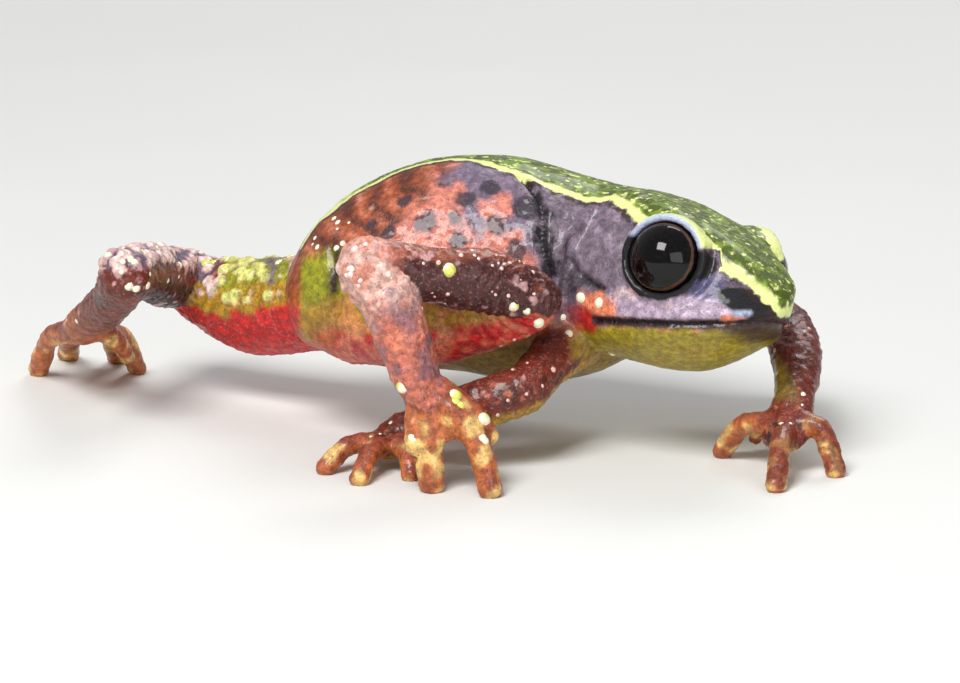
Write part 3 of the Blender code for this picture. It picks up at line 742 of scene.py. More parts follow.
class Survey:
    """Where each point of the skin lies on the animal: frames, nearest limb and shares of each region."""

    def __init__(self, places: np.ndarray, head: Head, trunk: Trunk) -> None:
        """Work out every coordinate and share once.

        Args:
            places: Points of the skin in the design frame.
            head: The head.
            trunk: The trunk.
        """
        self.places = places
        self.head = head.folded(places)
        self.trunk = trunk.folded(places)
        eye = self.head - np.array(head.eye_place)
        axis = np.array(Vector(head.eye_axis).normalized())
        self.eye_away = np.linalg.norm(eye, axis=1)
        self.eye_ahead = eye @ axis
        self.eye_rim = np.sqrt(np.maximum(self.eye_away**2 - self.eye_ahead**2, 0.0))
        self.mouth_away = -Stroke(head.mouth_line).depth(self.head)
        line = np.array(smooth_points(head.mouth_line, 8))
        self.mouth_above = self.head[:, 2] - np.interp(self.head[:, 0], line[:, 0], line[:, 2])
        limbs = {name: limb.nearest(places) for name, limb in LIMBS.items()}
        names = list(LIMBS)
        out = np.stack([limbs[name]["out"] for name in names])
        pick = out.argmin(axis=0)
        rows = np.arange(len(places))
        self.limb_out = out[pick, rows]
        self.line, self.along, self.height = [
            np.stack([limbs[name][key] for name in names])[pick, rows] for key in ("line", "along", "height")
        ]
        self.on_name = {name: pick == k for k, name in enumerate(names)}
        in_head = soft_step(self.head[:, 0], head.neck_x - 1.5, head.neck_x + 1.5)
        in_head *= soft_step(places[:, 0], 5.0, 8.0)
        cheek = 4.9 - 0.35 * np.maximum(self.head[:, 0], 0.0)
        head_out = np.maximum(self.head[:, 1] - cheek, -6.9 - self.head[:, 2])
        body_out = np.maximum(np.where(in_head > 0.5, head_out, trunk.outside(self.trunk)), 0.0)
        self.limb_share = soft_step(body_out - self.limb_out, -0.35, 0.55)
        self.head_share = in_head * (1.0 - self.limb_share)
        heel = self.limb("hind_left") * np.where(self.line == 0, soft_step(places[:, 0], -9.4, -10.6), 1.0)
        heel = heel * np.where(self.line == 2, soft_step(self.along, 0.3, 0.1), self.line < 3)
        hock = self.limb("hind_right") * (self.line == 2) * soft_step(self.along, 0.42, 0.16)
        warty = np.maximum(heel * soft_step(self.height, 0.1, 0.5), 0.8 * hock)
        self.warts = granules(places, 1.15, 5.0) * warty
        self.coarse = granules(places, 1.45, 3.0) * self.limb_share * (self.line < 3)

    def limb(self, name: str) -> np.ndarray:
        """Share of each point that belongs to the named limb."""
        return self.limb_share * self.on_name[name]


class Relief:
    """Folds, lips, lids, nostrils, wrinkles and grains, as heights above the smooth skin."""

    # Folds in the trunk's own folded frame and in the design frame: points with a half width of 0, and depth
    trunk_folds = (
        (((4.1, 3.0, 5.6, 0), (5.2, 4.2, 4.35, 0), (5.3, 5.6, 1.9, 0), (5.9, 5.8, 0.1, 0)), 0.34),
        (((6.6, 4.4, 3.6, 0), (6.9, 5.2, 1.4, 0), (6.8, 5.4, -0.8, 0)), 0.16),
        (((-6.9, 3.4, 2.7, 0), (-6.6, 4.3, 0.8, 0), (-6.4, 4.2, -1.2, 0)), 0.22),
    )
    design_folds = (
        (((-9.3, -0.4, 9.2, 0), (-9.0, -1.0, 7.0, 0), (-8.6, -1.4, 5.4, 0)), 0.20),
        (((5.9, -10.6, 10.9, 0), (6.3, -10.3, 9.5, 0), (5.6, -10.4, 8.2, 0)), 0.14),
        (((-5.2, -13.3, 11.0, 0), (-4.2, -14.4, 11.4, 0), (-2.8, -14.2, 12.0, 0)), 0.16),
    )
    jaw_fold = ((-6.4, 5.1, -1.6, 0), (-5.2, 5.0, -2.3, 0), (-3.9, 4.9, -2.7, 0), (-2.9, 4.8, -2.6, 0))
    brow_ridge = Stroke(((1.9, 2.7, 1.0, 0), (3.7, 2.0, 0.1, 0), (5.3, 1.1, -0.6, 0)))
    knee = (4.6, -11.0, 10.0)

    def __init__(self, survey: Survey, head: Head) -> None:
        """Keep what the heights are worked out from.

        Args:
            survey: Where each point lies.
            head: The head.
        """
        self.survey = survey
        self.head = head

    def folds(self) -> np.ndarray:
        """Folds of the skin.

        Returns:
            A height at each point, negative in a fold.
        """
        height = np.zeros(len(self.survey.places))
        for places, folds in ((self.survey.trunk, self.trunk_folds), (self.survey.places, self.design_folds)):
            for points, depth in folds:
                away = -Stroke(points).depth(places)
                height -= depth * bell(away, 0.22)
                height += 0.35 * depth * bell(away - 0.5, 0.3)
        return height

    def face(self) -> np.ndarray:
        """Lids, lips, mouth line and nostrils.

        Returns:
            A height at each point.
        """
        s = self.survey
        near = s.head_share * (s.eye_ahead > -0.5)
        height = near * 0.06 * bell(s.eye_rim - 2.35, 0.2)
        height -= near * 0.14 * bell(s.eye_rim - 2.85, 0.22) * (s.head[:, 2] < 0.9)
        mouth = s.head_share * (s.head[:, 0] > -4.4)
        height -= mouth * 0.36 * bell(s.mouth_away, 0.17)
        over = bell(s.mouth_above - 0.38, 0.3) * (s.mouth_away < 1.0)
        scallop = 0.6 + 0.4 * np.sin(2 * math.pi * s.head[:, 0] / 0.95)
        height += mouth * 0.11 * over * scallop
        under = bell(s.mouth_above + 0.45, 0.28) * (s.mouth_away < 1.0)
        height += mouth * 0.06 * under
        hole = np.linalg.norm(s.head - np.array(self.head.nostril), axis=1)
        height -= 0.34 * bell(hole, 0.26)
        height += 0.06 * bell(hole - 0.5, 0.16)
        height += 0.10 * bell(self.brow_ridge.depth(s.head), 0.4) * s.head_share
        away = -Stroke(self.jaw_fold).depth(s.head)
        return height - 0.22 * bell(away, 0.26)

    def texture(self) -> tuple[np.ndarray, np.ndarray, np.ndarray]:
        """Wrinkles and grains.

        Returns:
            Heights, how grainy the skin is at each point, and how strong the painted highlight on the top of
            a grain is there.
        """
        s = self.survey
        places = s.places
        digit = s.limb_share * (s.line == 3)
        limb = s.limb_share * (s.line < 3)
        flank = (1.0 - s.limb_share) * (1.0 - s.head_share) * soft_step(s.trunk[:, 1], 2.0, 4.0)
        grain = np.clip(0.15 + 0.75 * limb + 0.35 * digit + 0.45 * flank + 0.1 * s.head_share, 0.0, 1.0)
        height = 0.085 * grain * (granules(places, 1.9) - 0.4)
        height += 0.03 * grain * (granules(places, 3.6, 7.0) - 0.4)
        height += 0.10 * swell(places, 0.5, 3.0) * (1.0 - 0.6 * s.head_share)
        warp = 0.5 * swell(places, 0.7, 5.0)
        neck = (1.0 - s.limb_share) * soft_step(s.trunk[:, 0], 4.5, 6.0)
        neck *= 1.0 - soft_step(s.head[:, 0], -4.5, -3.0)
        neck *= soft_step(s.trunk[:, 1], 2.8, 3.8)
        ripple = np.sin(2 * math.pi * (s.head[:, 0] + 1.6 * warp) / 1.15)
        height += neck * 0.06 * ripple * (0.5 + 0.5 * soft_step(warp, -0.25, 0.25))
        knee = np.linalg.norm(places - np.array(self.knee), axis=1)
        at_knee = s.limb("hind_right") * (s.line < 2) * (1.0 - soft_step(knee, 2.6, 4.2))
        height += at_knee * 0.06 * np.sin(2 * math.pi * (knee + 0.6 * warp) / 0.5)
        bend = s.limb_share * (s.line < 3) * (np.abs(s.along - 0.5) > 0.42)
        height += bend * 0.05 * np.sin(2 * math.pi * s.along * 26.0 + 2.0 * warp)
        knuckle = digit * 0.02 * np.cos(2 * math.pi * s.along * 4.0)
        height += 0.26 * s.warts + 0.07 * s.coarse * (s.line == 1)
        fore = s.limb("fore_left") + s.limb("fore_right")
        # Painted highlight: pale pink on the top of the coarse grains of the shanks and the fine grains of
        # the limbs
        tops = np.where(s.line == 1, 1.5 * s.coarse, 0.0) * (limb - 0.5 * fore)
        tops += 0.4 * granules(places, 1.9) * limb * (s.line > 0)
        return height + knuckle, grain, tops


class Markings:
    """Colours of the skin: one soft tint for each point, and depths inside each crisp marking."""

    # Depth of a point that a crisp marking doesn't reach
    outside = -2.0
    band_line = (
        (-8.6, -0.9, 10.7, 0.3), (-6.8, -0.5, 12.6, 0.6), (-4.3, 0.2, 14.3, 1.0), (-1.0, 0.7, 15.6, 1.3),
        (1.8, 0.6, 15.9, 1.7), (3.2, 0.4, 15.9, 2.3), (4.6, 0.1, 15.6, 2.9), (6.8, -0.5, 15.1, 3.2),
        (8.9, -1.3, 14.7, 3.2),
    )
    band_head = (
        (-6.0, 0.0, 3.1, 3.3), (-3.9, 0.0, 2.9, 3.6), (-2.0, 0.0, 2.4, 3.9), (0.5, 0.0, 1.9, 3.9),
        (2.2, 0.0, 1.4, 3.2), (3.7, 0.0, 0.7, 2.5), (4.85, 0.0, 0.0, 2.0), (5.95, 0.0, -0.9, 1.35),
    )
    # Round spots on each flank, in the trunk's folded frame: place and radius
    spots = (
        (4.4, 4.65, 4.0, 0.85), (0.9, 4.65, 4.4, 0.6), (-1.4, 5.2, 3.2, 0.7), (-2.6, 4.0, 4.5, 0.5),
        (2.6, 5.6, 3.0, 0.6), (0.5, 6.0, 2.0, 0.55), (3.8, 5.9, 1.6, 0.6), (-3.6, 4.9, 2.9, 0.5),
        (-0.4, 4.0, 5.3, 0.4), (2.4, 4.2, 5.1, 0.6), (-4.6, 4.2, 3.6, 0.5), (1.6, 6.3, 0.4, 0.5),
        (-1.6, 6.0, 1.2, 0.5), (4.2, 6.0, -0.6, 0.5), (-5.6, 4.3, 2.0, 0.5), (-3.2, 5.6, 0.9, 0.45),
        (-0.2, 6.2, -1.0, 0.5), (2.8, 6.1, -1.8, 0.5), (-4.9, 5.0, 0.2, 0.45), (0.3, 5.4, 3.4, 0.45),
    )
    # Marks of the face in the head's folded frame, then those of the neck in the trunk's
    lip = Stroke((
        (-2.9, 4.95, -3.6, 0.55), (-1.8, 4.9, -3.4, 0.85), (0.2, 4.6, -3.3, 0.95), (1.9, 4.0, -3.0, 0.9),
        (3.6, 2.9, -2.7, 0.6), (4.6, 2.0, -2.7, 0.3),
    ))
    lore_blue = Stroke(((2.2, 3.3, -1.5, 0.6), (3.1, 2.9, -1.3, 0.65)))
    lore_black = Stroke((
        (3.7, 2.5, -1.6, 0.45), (4.5, 2.0, -1.8, 0.75), (5.2, 1.4, -1.9, 0.75), (5.8, 0.6, -1.8, 0.5),
    ))
    eye_corner = Stroke((
        (1.7, 3.4, -1.0, 0.35), (2.2, 3.3, -0.5, 0.6), (2.6, 3.1, 0.1, 0.55), (3.0, 2.9, 0.4, 0.25),
    ))
    # Painted shade: black in the fold behind the jaw
    jaw_fold_shade = Stroke(((-6.2, 5.0, -2.2, 0.5), (-5.0, 5.0, -2.5, 0.35), (-3.7, 4.9, -2.75, 0.25)))
    jaw_red = Stroke(((-5.8, 5.0, -5.0, 0.9), (-4.3, 5.0, -4.7, 0.85)))
    jaw_pink = Stroke(((-4.9, 5.0, -3.6, 0.4), (-3.6, 4.95, -3.7, 0.65), (-2.6, 4.9, -3.9, 0.45)))
    snout_orange = Stroke(((4.0, 2.5, -3.0, 0.25), (4.6, 1.9, -2.75, 0.25)))
    snout_blue = Stroke(((4.3, 2.2, -2.5, 0.22), (4.9, 1.6, -2.4, 0.25)))
    head_side = Stroke((
        (-5.4, 4.2, 0.6, 2.2), (-3.6, 4.4, -0.6, 2.0), (-1.4, 4.4, -1.2, 1.6), (1.0, 4.2, -1.5, 1.2),
    ))
    neck = Stroke(((5.9, 3.9, 4.7, 1.5), (6.6, 4.9, 3.0, 2.2), (7.2, 5.2, 0.9, 2.5), (7.6, 5.2, -1.2, 2.2)))
    # Painted shade: near-black along the first fold of the neck, then along the second
    neck_dark = Stroke((
        (4.6, 3.2, 5.4, 0.35), (5.4, 4.4, 4.2, 0.55), (5.5, 5.6, 1.9, 0.6), (6.0, 5.8, 0.1, 0.7),
    ))
    neck_fold_shade = Stroke((
        (6.9, 5.2, 2.4, 0.4), (7.2, 5.3, 1.0, 0.5), (7.0, 5.5, -0.4, 0.7), (6.6, 5.8, -1.6, 0.8),
    ))

    def __init__(self, survey: Survey, head: Head) -> None:
        """Start from the flank's colour and noise that breaks the edges of the soft tints.

        Args:
            survey: Where each point lies.
            head: The head.
        """
        self.survey = survey
        self.head = head
        self.wave = swell(survey.places, 1.1, 11.0)
        self.fine = swell(survey.places, 3.0, 17.0)
        self.broad = swell(survey.places, 0.45, 23.0)
        self.tint = np.tile(np.array(Tone.SALMON.linear), (len(survey.places), 1))

    def lay(self, share: np.ndarray, tone: Tone) -> None:
        """Cover the tint with a tone.

        Args:
            share: How much of the tone each point takes, from 0 to 1.
            tone: The colour.
        """
        share = np.clip(share, 0.0, 1.0)[:, None]
        self.tint = self.tint * (1.0 - share) + share * np.array(tone.linear)

    def edge(self, depth: np.ndarray, width: float = 0.5) -> np.ndarray:
        """Share inside a marking, with a soft and uneven edge of this width."""
        return soft_step(depth + 0.22 * self.wave + 0.08 * self.fine, -width / 2, width / 2)

    def mark(self, stroke: Stroke, width: float, tone: Tone) -> None:
        """Lay one mark of the face, with an edge of this width."""
        self.lay(self.survey.head_share * self.edge(stroke.depth(self.survey.head), width), tone)

    def body(self) -> None:
        """Flank, belly, rump and neck, with painted shade in the neck folds and painted highlights on the
        neck.
        """
        s = self.survey
        body = 1.0 - s.limb_share
        along, _, up = s.trunk.T
        grey = 0.7 * self.broad + 0.5 * self.wave + 0.10 * along + 0.18 * up
        self.lay(soft_step(grey, 0.7, 1.1), Tone.FLANK_GREY)
        self.lay(0.6 * soft_step(self.wave - 0.1 * up, 0.1, 0.6), Tone.FLANK_DARK)
        back = body * soft_step(0.55 * up - 0.6 * along - 3.4 + 0.6 * self.wave, -0.4, 0.6)
        self.lay(back, Tone.RUST)
        stripes = np.sin(2 * math.pi * (0.42 * up + 0.42 * along + 0.5 * self.broad + 0.12 * self.wave))
        self.lay(0.7 * back * soft_step(stripes + 0.5 * self.fine, 0.3, 0.9), Tone.LIMB_DARK)
        self.lay(0.6 * back * soft_step(-stripes + 0.6 * self.wave, 0.6, 1.1), Tone.ORANGE_PINK)
        self.lay(0.5 * back * soft_step(self.fine + 0.5 * self.wave, 0.5, 0.8), Tone.PINK_GREY)
        self.lay(body * self.edge(-2.4 - up, 2.0), Tone.BELLY)
        behind = self.edge(-5.6 - along - 0.25 * up, 1.4)
        self.lay(body * behind * soft_step(up, 3.0, 2.0), Tone.YELLOW_GREEN)
        self.lay(body * behind * soft_step(up + 0.5 * self.wave, 0.5, -1.0), Tone.OCHRE)
        self.lay(body * behind * soft_step(up, -2.0, -3.0), Tone.RED)
        stripe = bell(along + 6.7 - 0.12 * up + 0.2 * self.wave, 0.35) * soft_step(up, -0.6, 0.4)
        self.lay(body * behind * stripe, Tone.LIMB_DARK)
        self.lay(body * self.edge(-8.6 - along, 0.5) * soft_step(up, -0.5, 1.0), Tone.RUST)
        self.lay(body * self.edge(-8.7 - along, 0.4) * soft_step(up, 1.0, -0.5), Tone.RED)
        neck = self.neck.depth(s.trunk)
        self.lay(body * self.edge(neck, 1.0), Tone.NECK)
        # Painted highlight: paler lavender patches on the neck
        self.lay(body * 0.5 * self.edge(neck, 0.5) * soft_step(self.wave, 0.1, 0.5), Tone.LAVENDER)
        # Painted shade in the neck folds, with ragged edges
        crease_shade = self.neck_dark.depth(s.trunk) - 0.2 + 0.4 * self.wave + 0.3 * self.fine
        self.lay(body * self.edge(crease_shade, 0.4), Tone.NECK_DARK)
        fold_shade = self.neck_fold_shade.depth(s.trunk) - 0.3 + 0.5 * self.wave + 0.4 * self.fine
        self.lay(0.7 * body * self.edge(fold_shade, 0.4), Tone.NECK_DARK)

    def face(self) -> None:
        """Side of the head, lips, throat, lore and lids, with painted shade in the fold behind the jaw, along
        the mouth and under the front of the chin.
        """
        s = self.survey
        share = s.head_share
        cheek = self.edge(self.head_side.depth(s.head), 0.8)
        self.lay(share * cheek, Tone.NECK)
        self.lay(0.35 * share * cheek * soft_step(self.wave, 0.0, 0.4), Tone.LAVENDER)
        self.lay(share * self.edge(-s.mouth_above - 0.30, 0.4), Tone.THROAT)
        self.lay(share * 0.5 * soft_step(self.wave, 0.0, 0.6) * (s.mouth_above < -0.9), Tone.OCHRE)
        # Painted shade: the throat darker towards the front of the lower jaw
        chin_shade = soft_step(s.head[:, 0] + 0.3 * self.wave, 3.3, 4.6) * (s.mouth_above < 0.0)
        self.lay(0.9 * share * chin_shade, Tone.LIMB_DARK)
        lip = share * self.edge(self.lip.depth(s.head), 0.35) * (s.mouth_above > 0.1)
        self.lay(lip, Tone.LAVENDER)
        self.lay(0.5 * lip * soft_step(self.wave, 0.15, 0.5), Tone.PINK_GREY)
        self.mark(self.lore_blue, 0.5, Tone.LAVENDER_BLUE)
        # Painted shade in the fold behind the jaw
        self.mark(self.jaw_fold_shade, 0.4, Tone.BLACK)
        self.mark(self.jaw_red, 0.5, Tone.RED)
        self.mark(self.jaw_pink, 0.4, Tone.ORANGE_PINK)
        # Painted shade along the mouth: a maroon band where the upper lip overhangs the slit
        lips = soft_step(-np.abs(s.mouth_above - 0.04), -0.36, -0.2) * (s.mouth_away < 0.7)
        self.lay(share * lips * (s.head[:, 0] > -4.0), Tone.MAROON)
        self.mark(self.snout_orange, 0.2, Tone.ORANGE_PINK)
        self.mark(self.snout_blue, 0.2, Tone.LID_RIM)

    def hind_left(self) -> None:
        """Stretched left hind limb: ochre and red thigh, dark shank with painted shade underneath, pale warts
        and an orange foot, with painted highlights near the hip and on top of the foot.
        """
        s = self.survey
        limb, up = s.limb("hind_left"), s.height + 0.25 * self.wave
        thigh = limb * (s.line == 0)
        x = s.places[:, 0] + 0.6 * self.wave + 0.3 * self.fine
        self.lay(thigh * soft_step(x, -13.6, -13.0), Tone.YELLOW_GREEN)
        self.lay(thigh * soft_step(x, -13.4, -14.4) * (up > 0.2), Tone.PURPLE)
        self.lay(thigh * soft_step(up, 0.75, 0.5) * soft_step(x, -15.6, -14.8), Tone.OCHRE)
        saddle = soft_step(x, -10.9, -10.5) * soft_step(x, -9.9, -10.3)
        self.lay(0.8 * thigh * saddle * (up > 0.6), Tone.PURPLE)
        # Painted highlight: pale pink-grey on the top of the thigh next to the rump
        self.lay(thigh * soft_step(x, -9.6, -9.2) * soft_step(up, -0.1, 0.3), Tone.PINK_GREY)
        self.lay(thigh * soft_step(up - 0.07 * (x + 13.0), 0.06, -0.1), Tone.RED)
        shank = limb * (s.line == 1)
        self.lay(shank * soft_step(up, 0.1, 0.6), Tone.PURPLE)
        # Painted shade: the underside of the shank darker
        self.lay(shank * soft_step(up, 0.0, -0.5), Tone.LIMB_DARK)
        self.lay(0.8 * shank * soft_step(s.along, 0.6, 0.85) * soft_step(up, 0.7, 0.2), Tone.LIMB)
        foot = limb * (s.line == 2) * soft_step(s.along + 0.2 * self.wave, 0.4, 0.8)
        self.lay(0.85 * foot, Tone.DIGIT)
        # Painted highlight: lilac-pink patches, more of them on top of the foot
        self.lay(0.7 * foot * soft_step(self.wave + 0.4 * up, 0.35, 0.6), Tone.PINK_GREY)
        self.lay(0.92 * limb * soft_step(s.warts, 0.2, 0.36), Tone.PINK_GREY)
        self.lay(0.9 * limb * soft_step(s.warts, 0.4, 0.7), Tone.WART)
        pale = thigh * soft_step(s.warts, 0.22, 0.5) * soft_step(x, -14.0, -13.2)
        self.lay(0.9 * pale, Tone.LEMON)

    def hind_right(self) -> None:
        """Folded right hind limb: dark shank, pinkish heel and foot, ochre and red under the thigh; the pale
        pink-grey round the heel is partly its warts' own colour, partly painted highlight.
        """
        s = self.survey
        limb, up = s.limb("hind_right"), s.height + 0.25 * self.wave
        thigh = limb * (s.line == 0)
        self.lay(thigh * soft_step(up, 0.62, 0.42), Tone.OCHRE)
        self.lay(thigh * soft_step(up, 0.0, -0.3), Tone.RED)
        shank = limb * (s.line == 1)
        self.lay(shank, Tone.SHANK)
        self.lay(0.8 * shank * soft_step(up + 0.4 * self.broad, 0.5, 0.9), Tone.RUST)
        self.lay(shank * soft_step(s.along + 0.06 * self.wave, 0.70, 0.86), Tone.TARSUS)
        # Pale pink-grey near the heel: partly the warts' own colour, partly painted highlight
        self.lay(0.6 * shank * soft_step(s.along + 0.1 * self.wave, 0.78, 0.9), Tone.PINK_GREY)
        foot = limb * (s.line == 2)
        self.lay(foot, Tone.TARSUS)
        self.lay(0.6 * foot * soft_step(self.wave + 0.5 * self.broad, 0.1, 0.45), Tone.PURPLE)
        self.lay(0.7 * foot * soft_step(self.fine - self.wave, 0.35, 0.8), Tone.ORANGE_PINK)
        # Pale pink-grey near the heel: partly the warts' own colour, partly painted highlight
        self.lay(0.75 * foot * soft_step(s.along + 0.25 * self.broad, 0.55, 0.2), Tone.PINK_GREY)
        self.lay(0.5 * foot * soft_step(self.wave - self.broad, 0.25, 0.55), Tone.PURPLE)
        self.lay(0.9 * foot * soft_step(s.warts, 0.3, 0.55), Tone.PINK_GREY)
        from_heel = np.abs(s.along * (s.line == 2) + (s.line == 1) * (1.0 - s.along))
        heel = soft_step(from_heel, 0.25, 0.1) * soft_step(self.wave, -0.3, 0.3)
        self.lay(0.6 * limb * heel, Tone.ORANGE_PINK)

    def limbs(self) -> None:
        """All limbs: brown above, yellow below, orange digits with yellow and brown patches."""
        s = self.survey
        limb, up = s.limb_share, s.height + 0.25 * self.wave
        self.lay(limb, Tone.LIMB)
        self.lay(limb * 0.8 * soft_step(self.wave, 0.1, 0.6), Tone.LIMB_DARK)
        flecks = soft_step(self.fine + 0.6 * self.wave, 0.35, 0.8) * (up > 0.0)
        self.lay(limb * flecks * 0.5, Tone.ORANGE_PINK)
        self.hind_left()
        self.hind_right()
        fore = s.limb("fore_left") + s.limb("fore_right")
        self.lay(fore * (s.line < 3) * soft_step(up, -0.25, -0.6), Tone.OCHRE)
        digit = limb * (s.line == 3)
        orange = soft_step(s.along + 0.3 * self.wave, -0.1, 0.3) * soft_step(up, 0.95, 0.45)
        self.lay(digit * orange, Tone.DIGIT)
        self.lay(0.7 * digit * soft_step(up + 0.3 * self.broad, 0.1, 0.5), Tone.DIGIT_PINK)
        self.lay(0.8 * digit * soft_step(self.wave + 0.4 * s.along, 0.3, 0.6), Tone.DIGIT_TIP)
        self.lay(0.5 * digit * soft_step(self.broad - self.wave, 0.3, 0.6), Tone.LIMB)
        far = s.limb("fore_left") * (s.line == 3) * soft_step(s.places[:, 0], 17.4, 18.2)
        self.lay(0.75 * far * soft_step(up - 0.5 * self.wave, -0.2, 0.2), Tone.LIMB)

    def band(self) -> np.ndarray:
        """Green band of back and head, with the upper lids.

        Returns:
            How deep each point lies inside it, negative outside.
        """
        s = self.survey
        back = Stroke(self.band_line).depth(s.places)
        crown = Stroke(self.band_head).depth(s.head)
        depth = np.maximum(back, crown)
        depth = np.where(s.limb_share > 0.3, self.outside, depth)
        lid = (s.eye_ahead > 0.0) & (s.eye_rim < 3.3)
        above = s.head[:, 2] - 0.75 - 0.45 * (s.head[:, 0] < self.head.eye_place[0] - 1.2)
        on_lid = np.minimum(np.maximum(depth, above), np.minimum(above, s.eye_rim - 2.3))
        return np.where(lid, on_lid, depth)

    def spot(self) -> np.ndarray:
        """Round spots of the flanks.

        Returns:
            How deep each point lies inside one, negative outside.
        """
        s = self.survey
        depth = np.full(len(s.places), self.outside)
        for x, side, up, radius in self.spots:
            depth = np.maximum(depth, radius - np.linalg.norm(s.trunk - np.array((x, side, up)), axis=1))
        return np.where(s.limb_share > 0.5, self.outside, depth)

    def dark(self, folds: np.ndarray) -> np.ndarray:
        """What is black: painted shade in the creases, nostrils and mouth slit, and the black of the lore and
        lid edges.

        Args:
            folds: Heights of the folds.

        Returns:
            How deep each point lies inside it, negative outside.
        """
        s = self.survey
        on_head = s.head_share > 0.3
        # Painted shade: black where a fold of the skin is deep
        depth = -folds * 2.2 - 0.46 + 0.12 * self.wave
        corner = np.where(on_head & (s.eye_ahead > -0.6), self.eye_corner.depth(s.head), self.outside)
        lore = np.where(on_head, self.lore_black.depth(s.head), self.outside)
        depth = np.maximum.reduce([depth, corner, lore])
        orange = np.maximum(self.snout_orange.depth(s.head), self.snout_blue.depth(s.head))
        depth = np.minimum(depth, np.where(orange > -0.2, -orange, 9.0))
        ring = 0.34 - np.abs(s.eye_rim - 2.2)
        ring = np.minimum(ring, 0.6 - s.head[:, 2])
        ring = np.where((s.eye_ahead > 0.0) & on_head, ring, self.outside)
        # Painted shade in the nostrils and along the mouth slit
        hole = 0.26 - np.linalg.norm(s.head - np.array(self.head.nostril), axis=1)
        slit = np.where(on_head & (s.head[:, 0] > -3.9), 0.13 - s.mouth_away, self.outside)
        return np.maximum.reduce([depth, ring, hole, slit])

    def paint(self, mesh: bpy.types.Mesh, folds: np.ndarray, grain: np.ndarray, tops: np.ndarray) -> None:
        """Store the tint and every depth on the mesh.

        Args:
            mesh: Mesh of the skin.
            folds: Heights of the folds.
            grain: How grainy the skin is.
            tops: Painted highlight on the top of each grain, how strong at each point.
        """
        self.body()
        self.limbs()
        self.face()
        s = self.survey
        far_eye = s.head - np.array(self.head.on(Side.RIGHT, self.head.eye_place))
        from_far_eye = np.linalg.norm(far_eye, axis=1)
        lid = s.head_share * soft_step(s.head[:, 2], -0.4, 0.4) * soft_step(from_far_eye, 4.0, 3.2)
        rim = s.head_share * (s.eye_ahead > 0.0) * soft_step(s.head[:, 2] + 0.1 * self.wave, 0.5, 0.8)
        rim = rim * soft_step(-np.abs(s.eye_rim - 2.28), -0.22, -0.12)
        shade = 1.0 + 0.10 * self.fine
        colour = np.ones((len(s.places), 4))
        colour[:, :3] = np.clip(self.tint * shade[:, None], 0.0, 1.0)
        tint = mesh.attributes.new("tint", "FLOAT_COLOR", "POINT")
        tint.data.foreach_set("color", colour.astype(np.float32).ravel())
        layers = {
            "band": self.band(),
            "spot": self.spot(),
            "dark": self.dark(folds),
            "grain": grain,
            # painted highlight on the top of the grains, broken up by broad noise
            "tops": tops * (0.4 + 0.6 * soft_step(self.broad, -0.3, 0.3)),
            "lid": lid,
            "rim": rim,
        }
        for name, values in layers.items():
            layer = mesh.attributes.new(name, "FLOAT", "POINT")
            layer.data.foreach_set("value", values.astype(np.float32))


